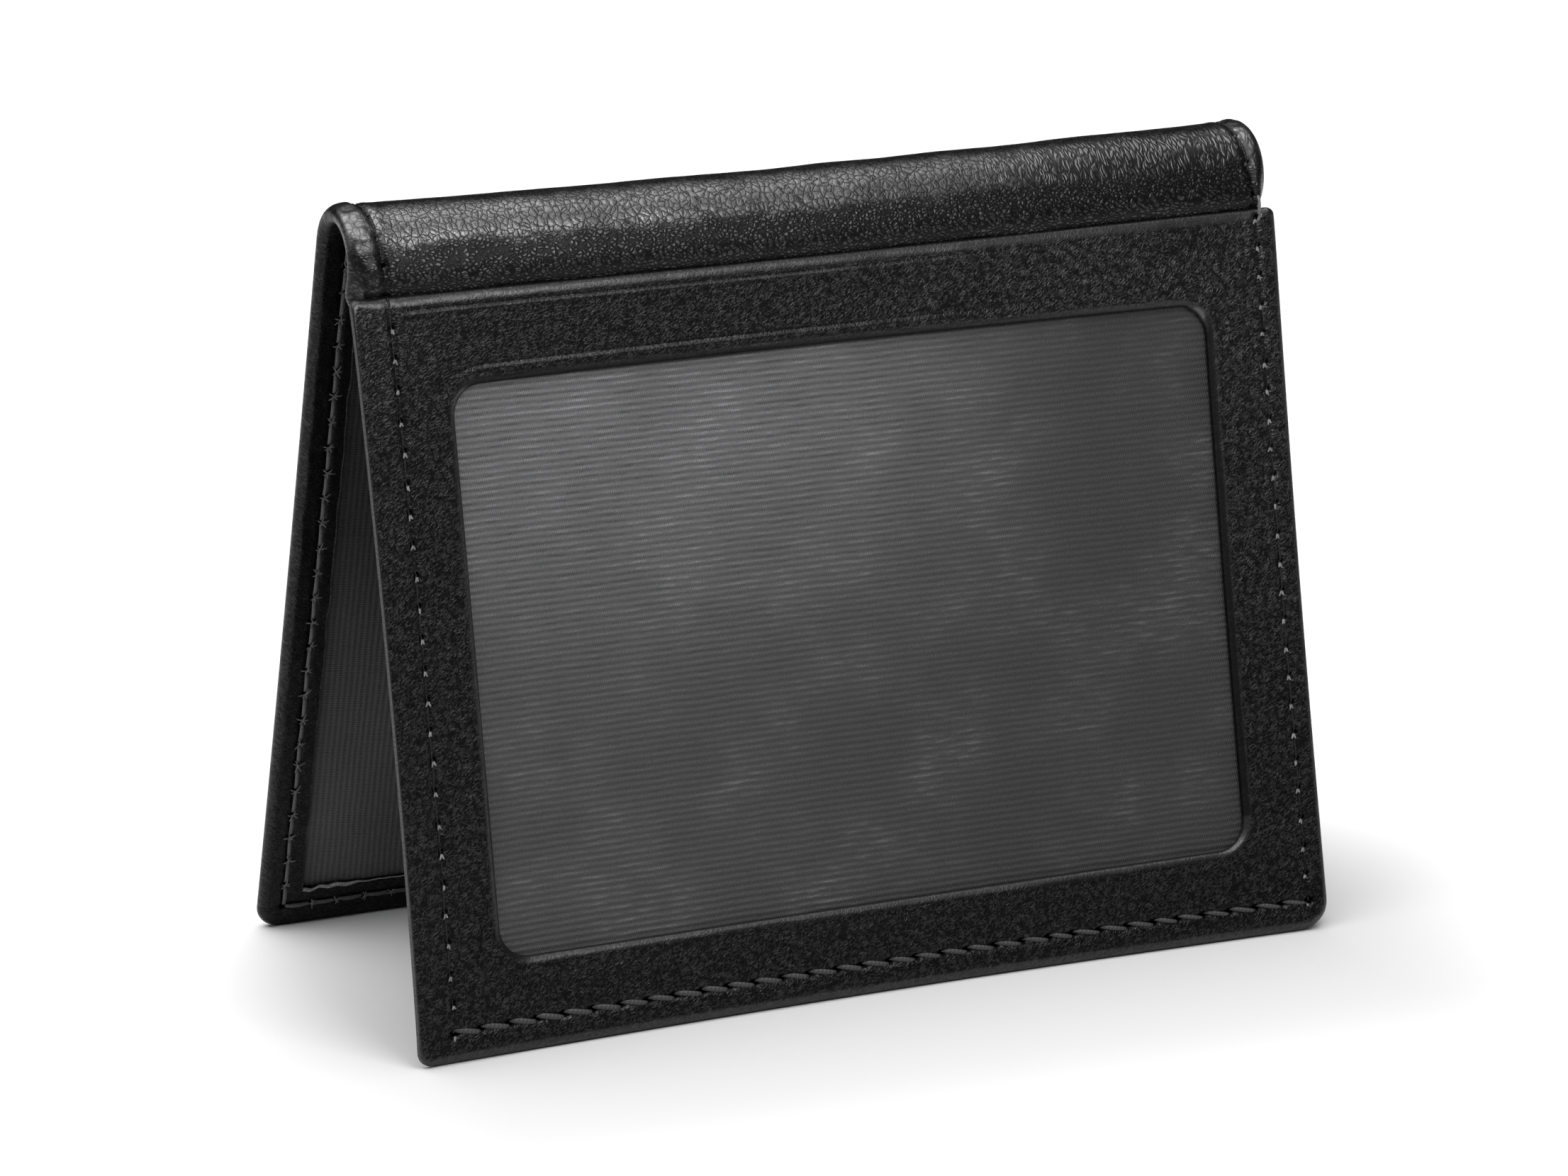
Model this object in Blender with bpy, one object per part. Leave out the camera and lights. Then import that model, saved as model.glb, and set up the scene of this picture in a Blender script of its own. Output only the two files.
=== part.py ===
"""Folding leather ID case, standing open as a tent on its two free ends.

One leather shell runs up the rear leaf, over the fold and down the front leaf.
Its long edges and its two ends are turned in over a fabric lining and stitched.
A leather panel with a window is stitched on the outside of the front leaf, over a
fabric backing, and makes a card pocket that opens at its top edge.

A shallow pressed groove runs under the stitches on the shell's outer face.

Every piece is first laid out flat, as it is cut on the bench: X runs along the
fold, Y is the distance from the crest along the shell's outer face (negative on
the rear leaf) and Z is the height above that face. fold() then bends the flat
piece around the crest. The shell bends at four lines, so it is split there.
"""
import math

import bmesh
import bpy
from mathutils import Vector

# Driving dimensions: metres and degrees.
SHELL_WIDTH = 0.0991
CREST_HEIGHT = 0.0806
CREST_Y = -0.0036
FOLD_RADIUS = 0.0051
TUCK_ANGLE = 39.75
TUCK_RADIUS = 0.001
REAR_TILT = 16.7
FRONT_TILT = 11.3
HINGES = 4

LEATHER = 0.0005
LINING = 0.0002
HEM_WIDTH = 0.0044
GAP = 0.0003
SHELL_CORNER = 0.003
EDGE_ROUND_SHARE = 0.42
EDGE_ROUND_STEPS = 3
HINGE_GAP = 0.0007

PANEL_WIDTH = 0.1000
PANEL_THICKNESS = 0.0008
PANEL_FLOOR_GAP = 0.00002
PANEL_CORNERS = (0.0015, 0.003, 0.0008, 0.0008)
BACKING = 0.0002
WINDOW_MARGINS = {"left": 0.0096, "right": 0.0074, "top": 0.0084, "bottom": 0.0092}
WINDOW_CORNER = 0.003
WINDOW_CORNERS = (WINDOW_CORNER,) * 4

THREAD = 0.00032
STITCH = 0.0029
STITCH_DIP = 0.00012
THREAD_HINGE_GAP = 0.0011
GROOVE_WIDTH = 0.0006
GROOVE_DEPTH = 0.0002
SEAM_FROM_END = 0.0026
SEAM_X = {
    "rear": {"left": -0.0471, "right": 0.0474},
    "spine": {"left": -0.0467, "right": 0.0470},
    "front": {"left": -0.0462, "right": 0.0478},
}

# Sizes that follow from the driving dimensions.
HALF_SHELL = SHELL_WIDTH / 2
HALF_PANEL = PANEL_WIDTH / 2
SHELL_DEPTH = 2 * LEATHER + LINING + 2 * GAP
EDGE_ROUND = EDGE_ROUND_SHARE * SHELL_DEPTH
LINING_TOP = -(LEATHER + GAP)
BACKING_BASE = GAP
PANEL_BASE = BACKING_BASE + BACKING + GAP
PANEL_FACE = PANEL_BASE + PANEL_THICKNESS
REAR_ANGLE = math.radians(REAR_TILT)
FRONT_ANGLE = math.radians(FRONT_TILT)
TUCK = math.radians(TUCK_ANGLE)
REAR_BEND = -FOLD_RADIUS * (math.pi / 2 - REAR_ANGLE)
FRONT_BEND = FOLD_RADIUS * (math.pi / 2 - FRONT_ANGLE)
FRONT_FLAT = FRONT_BEND + (FOLD_RADIUS + TUCK_RADIUS) * TUCK
HINGE_STEP = (FRONT_BEND - REAR_BEND) / HINGES

# Mesh settings: lengths in metres, angles in radians.
BEND_CUT = HINGE_STEP / 4
ARC_STEPS = 5
MERGE = 1e-7
LEVEL_TOLERANCE = 1e-6
FLAT_ANGLE = 0.01
RIM_ANGLE = 1.0
SMOOTH_ANGLE = math.radians(35)
TANGENT_STEP = 0.0001


def fold(point):
    """Bend one flat point around the crest into the standing case.

    The shell runs round the fold radius. On the front it turns further than the
    leaf's tilt and then curls back by the tuck angle, so the fold bulges over the
    panel's top edge.
    """
    across, along, height = point
    lean, tuck, side = (REAR_ANGLE, 0.0, 1) if along < 0 else (FRONT_ANGLE, TUCK, -1)
    full_turn = math.pi / 2 - lean + tuck
    arc = FOLD_RADIUS * full_turn
    curl = min(max(abs(along) - arc, 0.0), TUCK_RADIUS * tuck)
    straight = max(abs(along) - arc - TUCK_RADIUS * tuck, 0.0)
    turn = min(abs(along), arc) / FOLD_RADIUS
    out = FOLD_RADIUS * math.sin(turn)
    drop = FOLD_RADIUS * (1 - math.cos(turn))
    end_turn = turn - curl / TUCK_RADIUS
    out += TUCK_RADIUS * (math.sin(turn) - math.sin(end_turn))
    drop += TUCK_RADIUS * (math.cos(end_turn) - math.cos(turn))
    out += straight * math.cos(end_turn) + height * math.sin(end_turn)
    drop += straight * math.sin(end_turn) - height * math.cos(end_turn)
    return Vector((across, CREST_Y + side * out, CREST_HEIGHT - drop))


def floor_distance(start, angle, height, level):
    """Flat distance from the crest at which a layer of a leaf is at a level."""
    return abs(start) + (fold((0, start, height)).z - level) / math.cos(angle)


def rolled_end(start, angle):
    """Flat distance from the crest at which a rolled leaf end just meets the floor."""
    return floor_distance(start, angle, EDGE_ROUND - SHELL_DEPTH, EDGE_ROUND) + EDGE_ROUND


REAR_END = -rolled_end(REAR_BEND, REAR_ANGLE)
FRONT_END = rolled_end(FRONT_FLAT, FRONT_ANGLE)
PANEL_TOP = FRONT_FLAT
PANEL_END = floor_distance(FRONT_FLAT, FRONT_ANGLE, PANEL_BASE, PANEL_FLOOR_GAP)


def hinge_along(index):
    """Flat distance from the crest of hinge line 1 to HINGES, rear to front."""
    return REAR_BEND + (index - 0.5) * HINGE_STEP


def rounded_outline(left, right, low, high, corners):
    """Rectangle with round corners, from low left anticlockwise."""
    spots = (
        (left, low, 180, corners[0], 1, 1),
        (right, low, 270, corners[1], -1, 1),
        (right, high, 0, corners[2], -1, -1),
        (left, high, 90, corners[3], 1, -1),
    )
    points = []
    for x, y, start, radius, step_x, step_y in spots:
        centre_x = x + step_x * radius
        centre_y = y + step_y * radius
        for step in range(ARC_STEPS + 1 if radius else 1):
            turn = math.radians(start + 90 * step / ARC_STEPS)
            points.append((centre_x + radius * math.cos(turn), centre_y + radius * math.sin(turn)))
    return points


def plate(name, outlines, base, top):
    """Flat mesh of one outline, less any outlines inside it, between two heights."""
    curve = bpy.data.curves.new(name, "CURVE")
    curve.dimensions = "2D"
    curve.fill_mode = "BOTH"
    curve.extrude = (top - base) / 2
    for outline in outlines:
        spline = curve.splines.new("POLY")
        spline.points.add(len(outline) - 1)
        for point, (x, y) in zip(spline.points, outline):
            point.co = (x, y, 0, 1)
        spline.use_cyclic_u = True
    drawn = bpy.data.objects.new(name, curve)
    bpy.context.scene.collection.objects.link(drawn)
    evaluated = drawn.evaluated_get(bpy.context.evaluated_depsgraph_get())
    mesh = bpy.data.meshes.new_from_object(evaluated)
    bpy.data.objects.remove(drawn)
    shape = bmesh.new()
    shape.from_mesh(mesh)
    bmesh.ops.remove_doubles(shape, verts=shape.verts, dist=MERGE)
    bmesh.ops.dissolve_limit(shape, angle_limit=FLAT_ANGLE, verts=shape.verts, edges=shape.edges)
    bmesh.ops.translate(shape, verts=shape.verts, vec=(0, 0, (base + top) / 2))
    shape.to_mesh(mesh)
    shape.free()
    return mesh


def round_rim(mesh):
    """Round the upper and lower rims of a flat plate."""
    shape = bmesh.new()
    shape.from_mesh(mesh)
    rims = [edge for edge in shape.edges if edge.calc_face_angle() > RIM_ANGLE and is_level(edge)]
    bmesh.ops.bevel(
        shape,
        geom=rims,
        offset=EDGE_ROUND,
        segments=EDGE_ROUND_STEPS,
        profile=0.5,
        affect="EDGES",
    )
    shape.to_mesh(mesh)
    shape.free()


def is_level(edge):
    """True for an edge that lies at one height of the flat layout."""
    first, second = edge.verts
    return abs(first.co.z - second.co.z) < LEVEL_TOLERANCE


def subtract(mesh, cutters):
    """Flat mesh with the cutter meshes taken away."""
    body = bpy.data.objects.new("body", mesh)
    bpy.context.scene.collection.objects.link(body)
    for number, cutter_mesh in enumerate(cutters):
        cutter = bpy.data.objects.new(f"{mesh.name}_cutter_{number}", cutter_mesh)
        cutter.hide_render = True
        cutter.display_type = "WIRE"
        cutters_collection.objects.link(cutter)
        cut = body.modifiers.new("cut", "BOOLEAN")
        cut.object = cutter
        cut.solver = "EXACT"
    evaluated = body.evaluated_get(bpy.context.evaluated_depsgraph_get())
    result = bpy.data.meshes.new_from_object(evaluated)
    bpy.data.objects.remove(body)
    return result


def cut_at_hinge(shape, index, keep_front, gap):
    """Trim a folded piece square at a hinge line, half the gap short of it."""
    hinge = hinge_along(index)
    centre = fold((0, hinge, 0))
    along = fold((0, hinge + TANGENT_STEP, 0)) - fold((0, hinge - TANGENT_STEP, 0))
    along.normalize()
    normal = -along if keep_front else along
    cut = bmesh.ops.bisect_plane(
        shape,
        geom=shape.verts[:] + shape.edges[:] + shape.faces[:],
        dist=MERGE,
        plane_co=centre - normal * gap / 2,
        plane_no=normal,
        clear_outer=True,
    )
    rim = [item for item in cut["geom_cut"] if isinstance(item, bmesh.types.BMEdge)]
    bmesh.ops.holes_fill(shape, edges=rim, sides=0)


def add_piece(name, mesh, material, first_hinge=0, last_hinge=HINGES + 1, gap=HINGE_GAP):
    """Fold a flat mesh and trim it between two hinge lines."""
    shape = bmesh.new()
    shape.from_mesh(mesh)
    for step in range(math.ceil((FRONT_FLAT - REAR_BEND) / BEND_CUT) + 1):
        bend = min(REAR_BEND + step * BEND_CUT, FRONT_FLAT)
        bmesh.ops.bisect_plane(
            shape,
            geom=shape.verts[:] + shape.edges[:] + shape.faces[:],
            dist=MERGE,
            plane_co=(0, bend, 0),
            plane_no=(0, 1, 0),
        )
    for vert in shape.verts:
        vert.co = fold(vert.co)
    if first_hinge > 0:
        cut_at_hinge(shape, first_hinge, True, gap)
    if last_hinge <= HINGES:
        cut_at_hinge(shape, last_hinge, False, gap)
    bmesh.ops.recalc_face_normals(shape, faces=shape.faces)
    if shape.calc_volume(signed=True) < 0:
        bmesh.ops.reverse_faces(shape, faces=shape.faces)
    folded = bpy.data.meshes.new(name)
    shape.to_mesh(folded)
    shape.free()
    return add_object(name, folded, material)


def add_object(name, data, material):
    """Name a finished mesh or curve and put it in the case's collection."""
    data.name = name
    data.materials.clear()
    data.materials.append(material)
    piece = bpy.data.objects.new(name, data)
    case_collection.objects.link(piece)
    if isinstance(data, bpy.types.Mesh):
        data.shade_smooth()
        data.set_sharp_from_angle(angle=SMOOTH_ANGLE)
    return piece


def span(first_hinge, last_hinge, inset):
    """Flat start and end of a piece: a leaf's end less the inset, or just past a hinge."""
    start = REAR_END + inset if first_hinge == 0 else hinge_along(first_hinge) - HINGE_STEP / 2
    end = FRONT_END - inset if last_hinge > HINGES else hinge_along(last_hinge) + HINGE_STEP / 2
    return start, end


def leaf_corners(first_hinge, last_hinge, radius):
    """Corner radii of a piece that is round only at a leaf's end."""
    rear = radius if first_hinge == 0 else 0
    front = radius if last_hinge > HINGES else 0
    return rear, rear, front, front


def cutter(name, first_hinge, last_hinge, inset, base, top):
    """Flat cutter set in from the shell's edges, running out at the hinge ends."""
    side = HALF_SHELL - inset
    start, end = span(first_hinge, last_hinge, inset)
    start -= HEM_WIDTH if first_hinge > 0 else 0
    end += HEM_WIDTH if last_hinge <= HINGES else 0
    corners = leaf_corners(first_hinge, last_hinge, max(0, SHELL_CORNER - inset))
    return plate(name, [rounded_outline(-side, side, start, end, corners)], base, top)


def groove(name, left, right, low, high):
    """Flat cutter for one straight length of the groove under the stitches."""
    outline = rounded_outline(left, right, low, high, (0, 0, 0, 0))
    return plate(name, [outline], -GROOVE_DEPTH, GROOVE_DEPTH)


def grooves(name, first_hinge, last_hinge):
    """Flat cutters for the grooves under one piece's stitches."""
    leaf = "rear" if first_hinge == 0 else "front" if last_hinge > HINGES else "spine"
    start, end = span(first_hinge, last_hinge, SEAM_FROM_END)
    start -= HEM_WIDTH if first_hinge > 0 else 0
    end += HEM_WIDTH if last_hinge <= HINGES else 0
    half = GROOVE_WIDTH / 2
    left, right = SEAM_X[leaf]["left"], SEAM_X[leaf]["right"]
    made = [groove(f"{name}_{side}", x - half, x + half, start, end) for side, x in SEAM_X[leaf].items()]
    if first_hinge == 0:
        made.append(groove(f"{name}_end", left - half, right + half, start - half, start + half))
    if last_hinge > HINGES:
        made.append(groove(f"{name}_end", left - half, right + half, end - half, end + half))
    return made


def shell(name, first_hinge, last_hinge):
    """Leather between two hinges, its edges turned in over the lining."""
    start, end = span(first_hinge, last_hinge, 0)
    corners = leaf_corners(first_hinge, last_hinge, SHELL_CORNER)
    outline = rounded_outline(-HALF_SHELL, HALF_SHELL, start, end, corners)
    slab = plate(name, [outline], -SHELL_DEPTH, 0)
    round_rim(slab)
    hem = SHELL_DEPTH - LEATHER
    cavity = cutter(name + "_cavity", first_hinge, last_hinge, LEATHER, -hem, -LEATHER)
    middle = -SHELL_DEPTH / 2
    opening = cutter(name + "_opening", first_hinge, last_hinge, HEM_WIDTH, -2 * SHELL_DEPTH, middle)
    cutters = [cavity, opening, *grooves(name + "_groove", first_hinge, last_hinge)]
    return add_piece(name, subtract(slab, cutters), leather, first_hinge, last_hinge)


def lining(name, first_hinge, last_hinge):
    """Ribbed fabric between two hinges, held under the turned-in edges."""
    inset = LEATHER + GAP
    side = HALF_SHELL - inset
    start, end = span(first_hinge, last_hinge, inset)
    corners = leaf_corners(first_hinge, last_hinge, SHELL_CORNER - inset)
    outline = rounded_outline(-side, side, start, end, corners)
    mesh = plate(name, [outline], LINING_TOP - LINING, LINING_TOP)
    return add_piece(name, mesh, ribbed_fabric, first_hinge, last_hinge)


def window_panel():
    """Leather front of the card pocket, with its round-cornered window."""
    side_left = -HALF_PANEL + WINDOW_MARGINS["left"]
    side_right = HALF_PANEL - WINDOW_MARGINS["right"]
    low = PANEL_TOP + WINDOW_MARGINS["top"]
    high = PANEL_END - WINDOW_MARGINS["bottom"]
    top_corner = PANEL_CORNERS[2]
    corners = (top_corner, top_corner, PANEL_CORNERS[1], PANEL_CORNERS[0])
    outer = rounded_outline(-HALF_PANEL, HALF_PANEL, PANEL_TOP, PANEL_END, corners)
    window = rounded_outline(side_left, side_right, low, high, WINDOW_CORNERS)
    mesh = plate("window_panel", [outer, window], PANEL_BASE, PANEL_FACE)
    return add_piece("window_panel", mesh, leather)


def pocket_backing():
    """Ribbed fabric back of the card pocket, seen through the window."""
    side = HALF_PANEL - 2 * LEATHER
    low, high = PANEL_TOP + LEATHER, PANEL_END - 2 * LEATHER
    outline = rounded_outline(-side, side, low, high, (SHELL_CORNER,) * 4)
    mesh = plate("pocket_backing", [outline], BACKING_BASE, BACKING_BASE + BACKING)
    return add_piece("pocket_backing", mesh, ribbed_fabric)


def thread(name, route):
    """Sewing thread along a folded route."""
    curve = bpy.data.curves.new(name, "CURVE")
    curve.dimensions = "3D"
    curve.bevel_depth = THREAD / 2
    curve.bevel_resolution = 0
    curve.use_fill_caps = True
    spline = curve.splines.new("POLY")
    spline.points.add(len(route) - 1)
    for point, flat in zip(spline.points, route):
        point.co = (*fold(flat), 1)
    return add_object(name, curve, black_thread)


def seam_along(name, x, start, end, level):
    """Row of stitches down the case; level gives the height of the face it lies on."""
    count = max(1, round(abs(end - start) / STITCH))
    route = []
    for step in range(2 * count + 1):
        along = start + (end - start) * step / (2 * count)
        rise = STITCH_DIP if step % 2 else 0
        route.append((x, along, level(along) + rise))
    return thread(name, route)


def seam_across(name, left, right, along, height):
    """Row of stitches along a leaf's free end."""
    count = round((right - left) / STITCH)
    outward = 1 if height > -SHELL_DEPTH else -1
    route = []
    for step in range(2 * count + 1):
        rise = STITCH_DIP if step % 2 else 0
        across = left + (right - left) * step / (2 * count)
        route.append((across, along, height + outward * rise))
    return thread(name, route)


def front_level(along):
    """Height of a thread on the front leaf, on the shell and then on the panel."""
    face = PANEL_FACE if along > PANEL_TOP - THREAD else 0.0
    return face + GAP + THREAD / 2


def shell_level(along):
    """Height of a thread on the shell's outer face."""
    return GAP + THREAD / 2


def inner_level(along):
    """Height of a thread on the turned-in edge, inside the case."""
    return -(SHELL_DEPTH + GAP + THREAD / 2 + STITCH_DIP)


def leaf_seams(leaf, far_end, near_end, level, end_height):
    """The seams that are seen on both faces of one leaf."""
    direction = 1 if far_end > 0 else -1
    end_seam = far_end - direction * SEAM_FROM_END
    sides = SEAM_X[leaf]
    for side, x in sides.items():
        seam_along(f"{leaf}_seam_{side}", x, near_end, end_seam, level)
        seam_along(f"{leaf}_inner_seam_{side}", x, near_end, end_seam, inner_level)
    left = sides["left"] + THREAD + GAP
    right = sides["right"] - THREAD - GAP
    seam_across(f"{leaf}_seam_end", left, right, end_seam, end_height)
    seam_across(f"{leaf}_inner_seam_end", left, right, end_seam, inner_level(end_seam))


def material(name, colour, roughness):
    """Plain non-metallic finish."""
    made = bpy.data.materials.new(name)
    made.use_nodes = True
    surface = made.node_tree.nodes["Principled BSDF"]
    surface.inputs["Base Color"].default_value = (*colour, 1.0)
    surface.inputs["Roughness"].default_value = roughness
    surface.inputs["Metallic"].default_value = 0.0
    made.diffuse_color = (*colour, 1.0)
    return made


for old in list(bpy.data.objects):
    bpy.data.objects.remove(old, do_unlink=True)
case_collection = bpy.data.collections.new("folding_id_case")
cutters_collection = bpy.data.collections.new("cutters")
bpy.context.scene.collection.children.link(case_collection)
bpy.context.scene.collection.children.link(cutters_collection)
leather = material("black_leather", (0.016, 0.016, 0.017), 0.48)
ribbed_fabric = material("grey_ribbed_fabric", (0.11, 0.11, 0.115), 0.8)
black_thread = material("black_thread", (0.03, 0.03, 0.032), 0.6)

shell("rear_shell", 0, 1)
lining("rear_lining", 0, 1)
shell("front_shell", HINGES, HINGES + 1)
lining("front_lining", HINGES, HINGES + 1)
for strip in range(1, HINGES):
    shell(f"spine_leather_{strip}", strip, strip + 1)
    lining(f"spine_lining_{strip}", strip, strip + 1)
    for seam_side, seam_x in SEAM_X["spine"].items():
        near = hinge_along(strip) + THREAD_HINGE_GAP / 2
        far = hinge_along(strip + 1) - THREAD_HINGE_GAP / 2
        seam_along(f"spine_seam_{seam_side}_{strip}", seam_x, near, far, shell_level)
window_panel()
pocket_backing()
rear_near = hinge_along(1) - THREAD_HINGE_GAP / 2
front_near = hinge_along(HINGES) + THREAD_HINGE_GAP / 2
leaf_seams("rear", REAR_END, rear_near, shell_level, shell_level(REAR_END))
leaf_seams("front", FRONT_END, front_near, front_level, front_level(FRONT_END))
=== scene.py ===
import math

import bpy
import numpy as np
from mathutils import Matrix, Vector


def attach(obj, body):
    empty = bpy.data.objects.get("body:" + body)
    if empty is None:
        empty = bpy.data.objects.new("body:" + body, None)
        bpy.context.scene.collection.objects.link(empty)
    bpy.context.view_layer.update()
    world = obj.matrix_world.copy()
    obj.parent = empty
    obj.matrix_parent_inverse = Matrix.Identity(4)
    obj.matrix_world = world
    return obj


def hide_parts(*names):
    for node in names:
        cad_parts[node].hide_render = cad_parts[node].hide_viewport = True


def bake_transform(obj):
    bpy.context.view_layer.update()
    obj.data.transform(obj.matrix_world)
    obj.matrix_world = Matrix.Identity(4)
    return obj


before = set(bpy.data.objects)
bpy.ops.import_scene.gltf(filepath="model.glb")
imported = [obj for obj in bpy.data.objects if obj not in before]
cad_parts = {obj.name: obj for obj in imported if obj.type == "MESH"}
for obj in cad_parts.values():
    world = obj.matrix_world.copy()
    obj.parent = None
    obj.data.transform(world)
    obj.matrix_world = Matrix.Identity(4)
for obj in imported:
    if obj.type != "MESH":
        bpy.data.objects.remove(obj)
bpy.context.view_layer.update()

# The case laid flat, as in the CAD: across is X along the fold, along is the
# distance from the crest on the shell's outer face (negative on the rear leaf) and
# height is measured out from that face. All in metres.
SHELL_WIDTH = 0.0991
CREST_HEIGHT = 0.0806
CREST_Y = -0.0036
FOLD_RADIUS = 0.0051
TUCK_RADIUS = 0.001
TUCK = math.radians(39.75)
REAR_ANGLE = math.radians(16.7)
FRONT_ANGLE = math.radians(11.3)
HINGES = 4
SHELL_DEPTH = 0.0018
HEM = 0.0044
SHELL_CORNER = 0.0022
SEAM_FROM_END = 0.0026
PANEL_WIDTH = 0.1000
PANEL_BASE = 0.0008
PANEL_FACE = 0.0016
PANEL_CORNERS = {"low_left": 0.0015, "low_right": 0.003, "high_right": 0.0008, "high_left": 0.0008}
WINDOW_MARGINS = {"left": 0.0096, "right": 0.0086, "top": 0.0092, "bottom": 0.0092}
WINDOW_CORNER = 0.003
STITCH = 0.0029

HALF_SHELL = SHELL_WIDTH / 2
HALF_PANEL = PANEL_WIDTH / 2
EDGE = SHELL_DEPTH / 2
REAR_BEND = -FOLD_RADIUS * (math.pi / 2 - REAR_ANGLE)
FRONT_BEND = FOLD_RADIUS * (math.pi / 2 - FRONT_ANGLE)
PANEL_TOP = FRONT_BEND + (FOLD_RADIUS + TUCK_RADIUS) * TUCK
HINGE_STEP = (FRONT_BEND - REAR_BEND) / HINGES


def bend(flat):
    """Flat points (across, along, height) bent around the crest, as the CAD bends them."""
    flat = np.asarray(flat, float)
    across, along, height = flat[..., 0], flat[..., 1], flat[..., 2]
    front = along >= 0
    lean = np.where(front, FRONT_ANGLE, REAR_ANGLE)
    tuck = np.where(front, TUCK, 0.0)
    side = np.where(front, -1.0, 1.0)
    arc = FOLD_RADIUS * (math.pi / 2 - lean + tuck)
    reach = np.abs(along)
    turn = np.minimum(reach, arc) / FOLD_RADIUS
    curl = np.clip(reach - arc, 0, TUCK_RADIUS * tuck)
    straight = np.maximum(reach - arc - TUCK_RADIUS * tuck, 0)
    end_turn = turn - curl / TUCK_RADIUS
    out = FOLD_RADIUS * np.sin(turn) + TUCK_RADIUS * (np.sin(turn) - np.sin(end_turn))
    out = out + straight * np.cos(end_turn) + height * np.sin(end_turn)
    drop = FOLD_RADIUS * (1 - np.cos(turn)) + TUCK_RADIUS * (np.cos(end_turn) - np.cos(turn))
    drop = drop + straight * np.sin(end_turn) - height * np.cos(end_turn)
    return np.stack([across, CREST_Y + side * out, CREST_HEIGHT - drop], -1)


def flat_distance(start, angle, height, level):
    """Distance from the crest at which a layer of a straight leaf is at a level."""
    return abs(start) + (float(bend((0, start, height))[2]) - level) / math.cos(angle)


CAD_EDGE = 0.42 * SHELL_DEPTH
REAR_END = -flat_distance(REAR_BEND, REAR_ANGLE, CAD_EDGE - SHELL_DEPTH, CAD_EDGE) - CAD_EDGE
FRONT_END = flat_distance(PANEL_TOP, FRONT_ANGLE, CAD_EDGE - SHELL_DEPTH, CAD_EDGE) + CAD_EDGE
PANEL_END = flat_distance(PANEL_TOP, FRONT_ANGLE, PANEL_BASE, 0.00002)
SPLIT = [REAR_BEND + (index + 1) * HINGE_STEP for index in range(HINGES - 1)]

# How the leather has warped in use.
LEFT_BOW = 0.0015
LEFT_BOW_WIDTH = 0.016
RIGHT_BOW = 0.0005
FOOT_BOW = 0.0013
REAR_BOW = 0.00033
CREST_SAG = 0.00042
CREST_SAG_LENGTH = 0.011


def ripples(x, y, wavelength, seed, waves=9):
    """Smooth seeded unevenness of about unit size."""
    random = np.random.default_rng(seed)
    total = np.zeros(np.broadcast(x, y).shape)
    for _ in range(waves):
        direction = random.uniform(0, 2 * math.pi)
        pitch = wavelength * random.uniform(0.7, 1.5)
        phase = random.uniform(0, 2 * math.pi)
        distance = x * math.cos(direction) + y * math.sin(direction)
        total = total + np.sin(2 * math.pi * distance / pitch + phase)
    return total / math.sqrt(waves)


def stand(flat):
    """Flat points bent into the standing case, with its bowed leaves and sagging crest."""
    flat = np.asarray(flat, float)
    across, along = flat[..., 0], flat[..., 1]
    placed = bend(flat)
    share = np.clip(across / SHELL_WIDTH + 0.5, 0, 1)
    down = np.clip((along - PANEL_TOP) / (FRONT_END - PANEL_TOP), 0, 1)
    belly = np.sin(math.pi * down) ** 0.6
    left = LEFT_BOW * belly * np.clip(1 - (across + HALF_PANEL) / LEFT_BOW_WIDTH, 0, 1) ** 2
    right = RIGHT_BOW * np.sin(math.pi * down) * share
    foot = FOOT_BOW * np.sin(math.pi * share) * down**2
    back = np.clip((REAR_BEND - along) / (REAR_BEND - REAR_END), 0, 1)
    rear = REAR_BOW * np.sin(math.pi * back)
    placed[..., 1] += right + foot - left - rear
    uneven = 1 + 0.15 * ripples(across, 0 * across, 0.03, 5)
    sag = CREST_SAG * np.sin(math.pi * share) * uneven
    placed[..., 2] -= sag * np.exp(-((along / CREST_SAG_LENGTH) ** 2))
    return placed


# Mesh helpers


def steps(start, end, size):
    """Evenly spaced values from start to end, about size apart."""
    return np.linspace(start, end, max(2, int(math.ceil(abs(end - start) / size)) + 1))


def chain(*runs):
    """Runs of values joined, each starting where the last one ends."""
    return np.concatenate([runs[0]] + [run[1:] for run in runs[1:]])


def over_fold(start, end, size):
    """Rows over the fold, with one wherever two strips meet."""
    turns = [start, *SPLIT, end]
    return chain(*(steps(low, high, size) for low, high in zip(turns[:-1], turns[1:])))


def quads(rows, columns, keep=None):
    """Faces of a grid of rows by columns; keep is a mask of rows - 1 by columns - 1."""
    index = np.arange(rows * columns).reshape(rows, columns)
    corners = np.stack([index[:-1, :-1], index[:-1, 1:], index[1:, 1:], index[1:, :-1]], -1)
    return corners[keep] if keep is not None else corners.reshape(-1, 4)


def new_mesh_object(name, points, faces, material, flat, attributes=None):
    """Smooth-shaded object; flat gives the UV map in metres of the flat layout."""
    mesh = bpy.data.meshes.new(name)
    mesh.from_pydata(points.tolist(), [], [list(map(int, face)) for face in faces])
    layer = mesh.uv_layers.new(name="flat")
    corner = np.zeros(len(mesh.loops), int)
    mesh.loops.foreach_get("vertex_index", corner)
    layer.data.foreach_set("uv", np.ascontiguousarray(flat[corner, :2], np.float32).ravel())
    for key, values in (attributes or {}).items():
        mesh.attributes.new(key, "FLOAT", "POINT").data.foreach_set("value", values.astype(np.float32))
    mesh.materials.append(material)
    mesh.shade_smooth()
    made = bpy.data.objects.new(name, mesh)
    bpy.context.scene.collection.objects.link(made)
    return made


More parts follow.
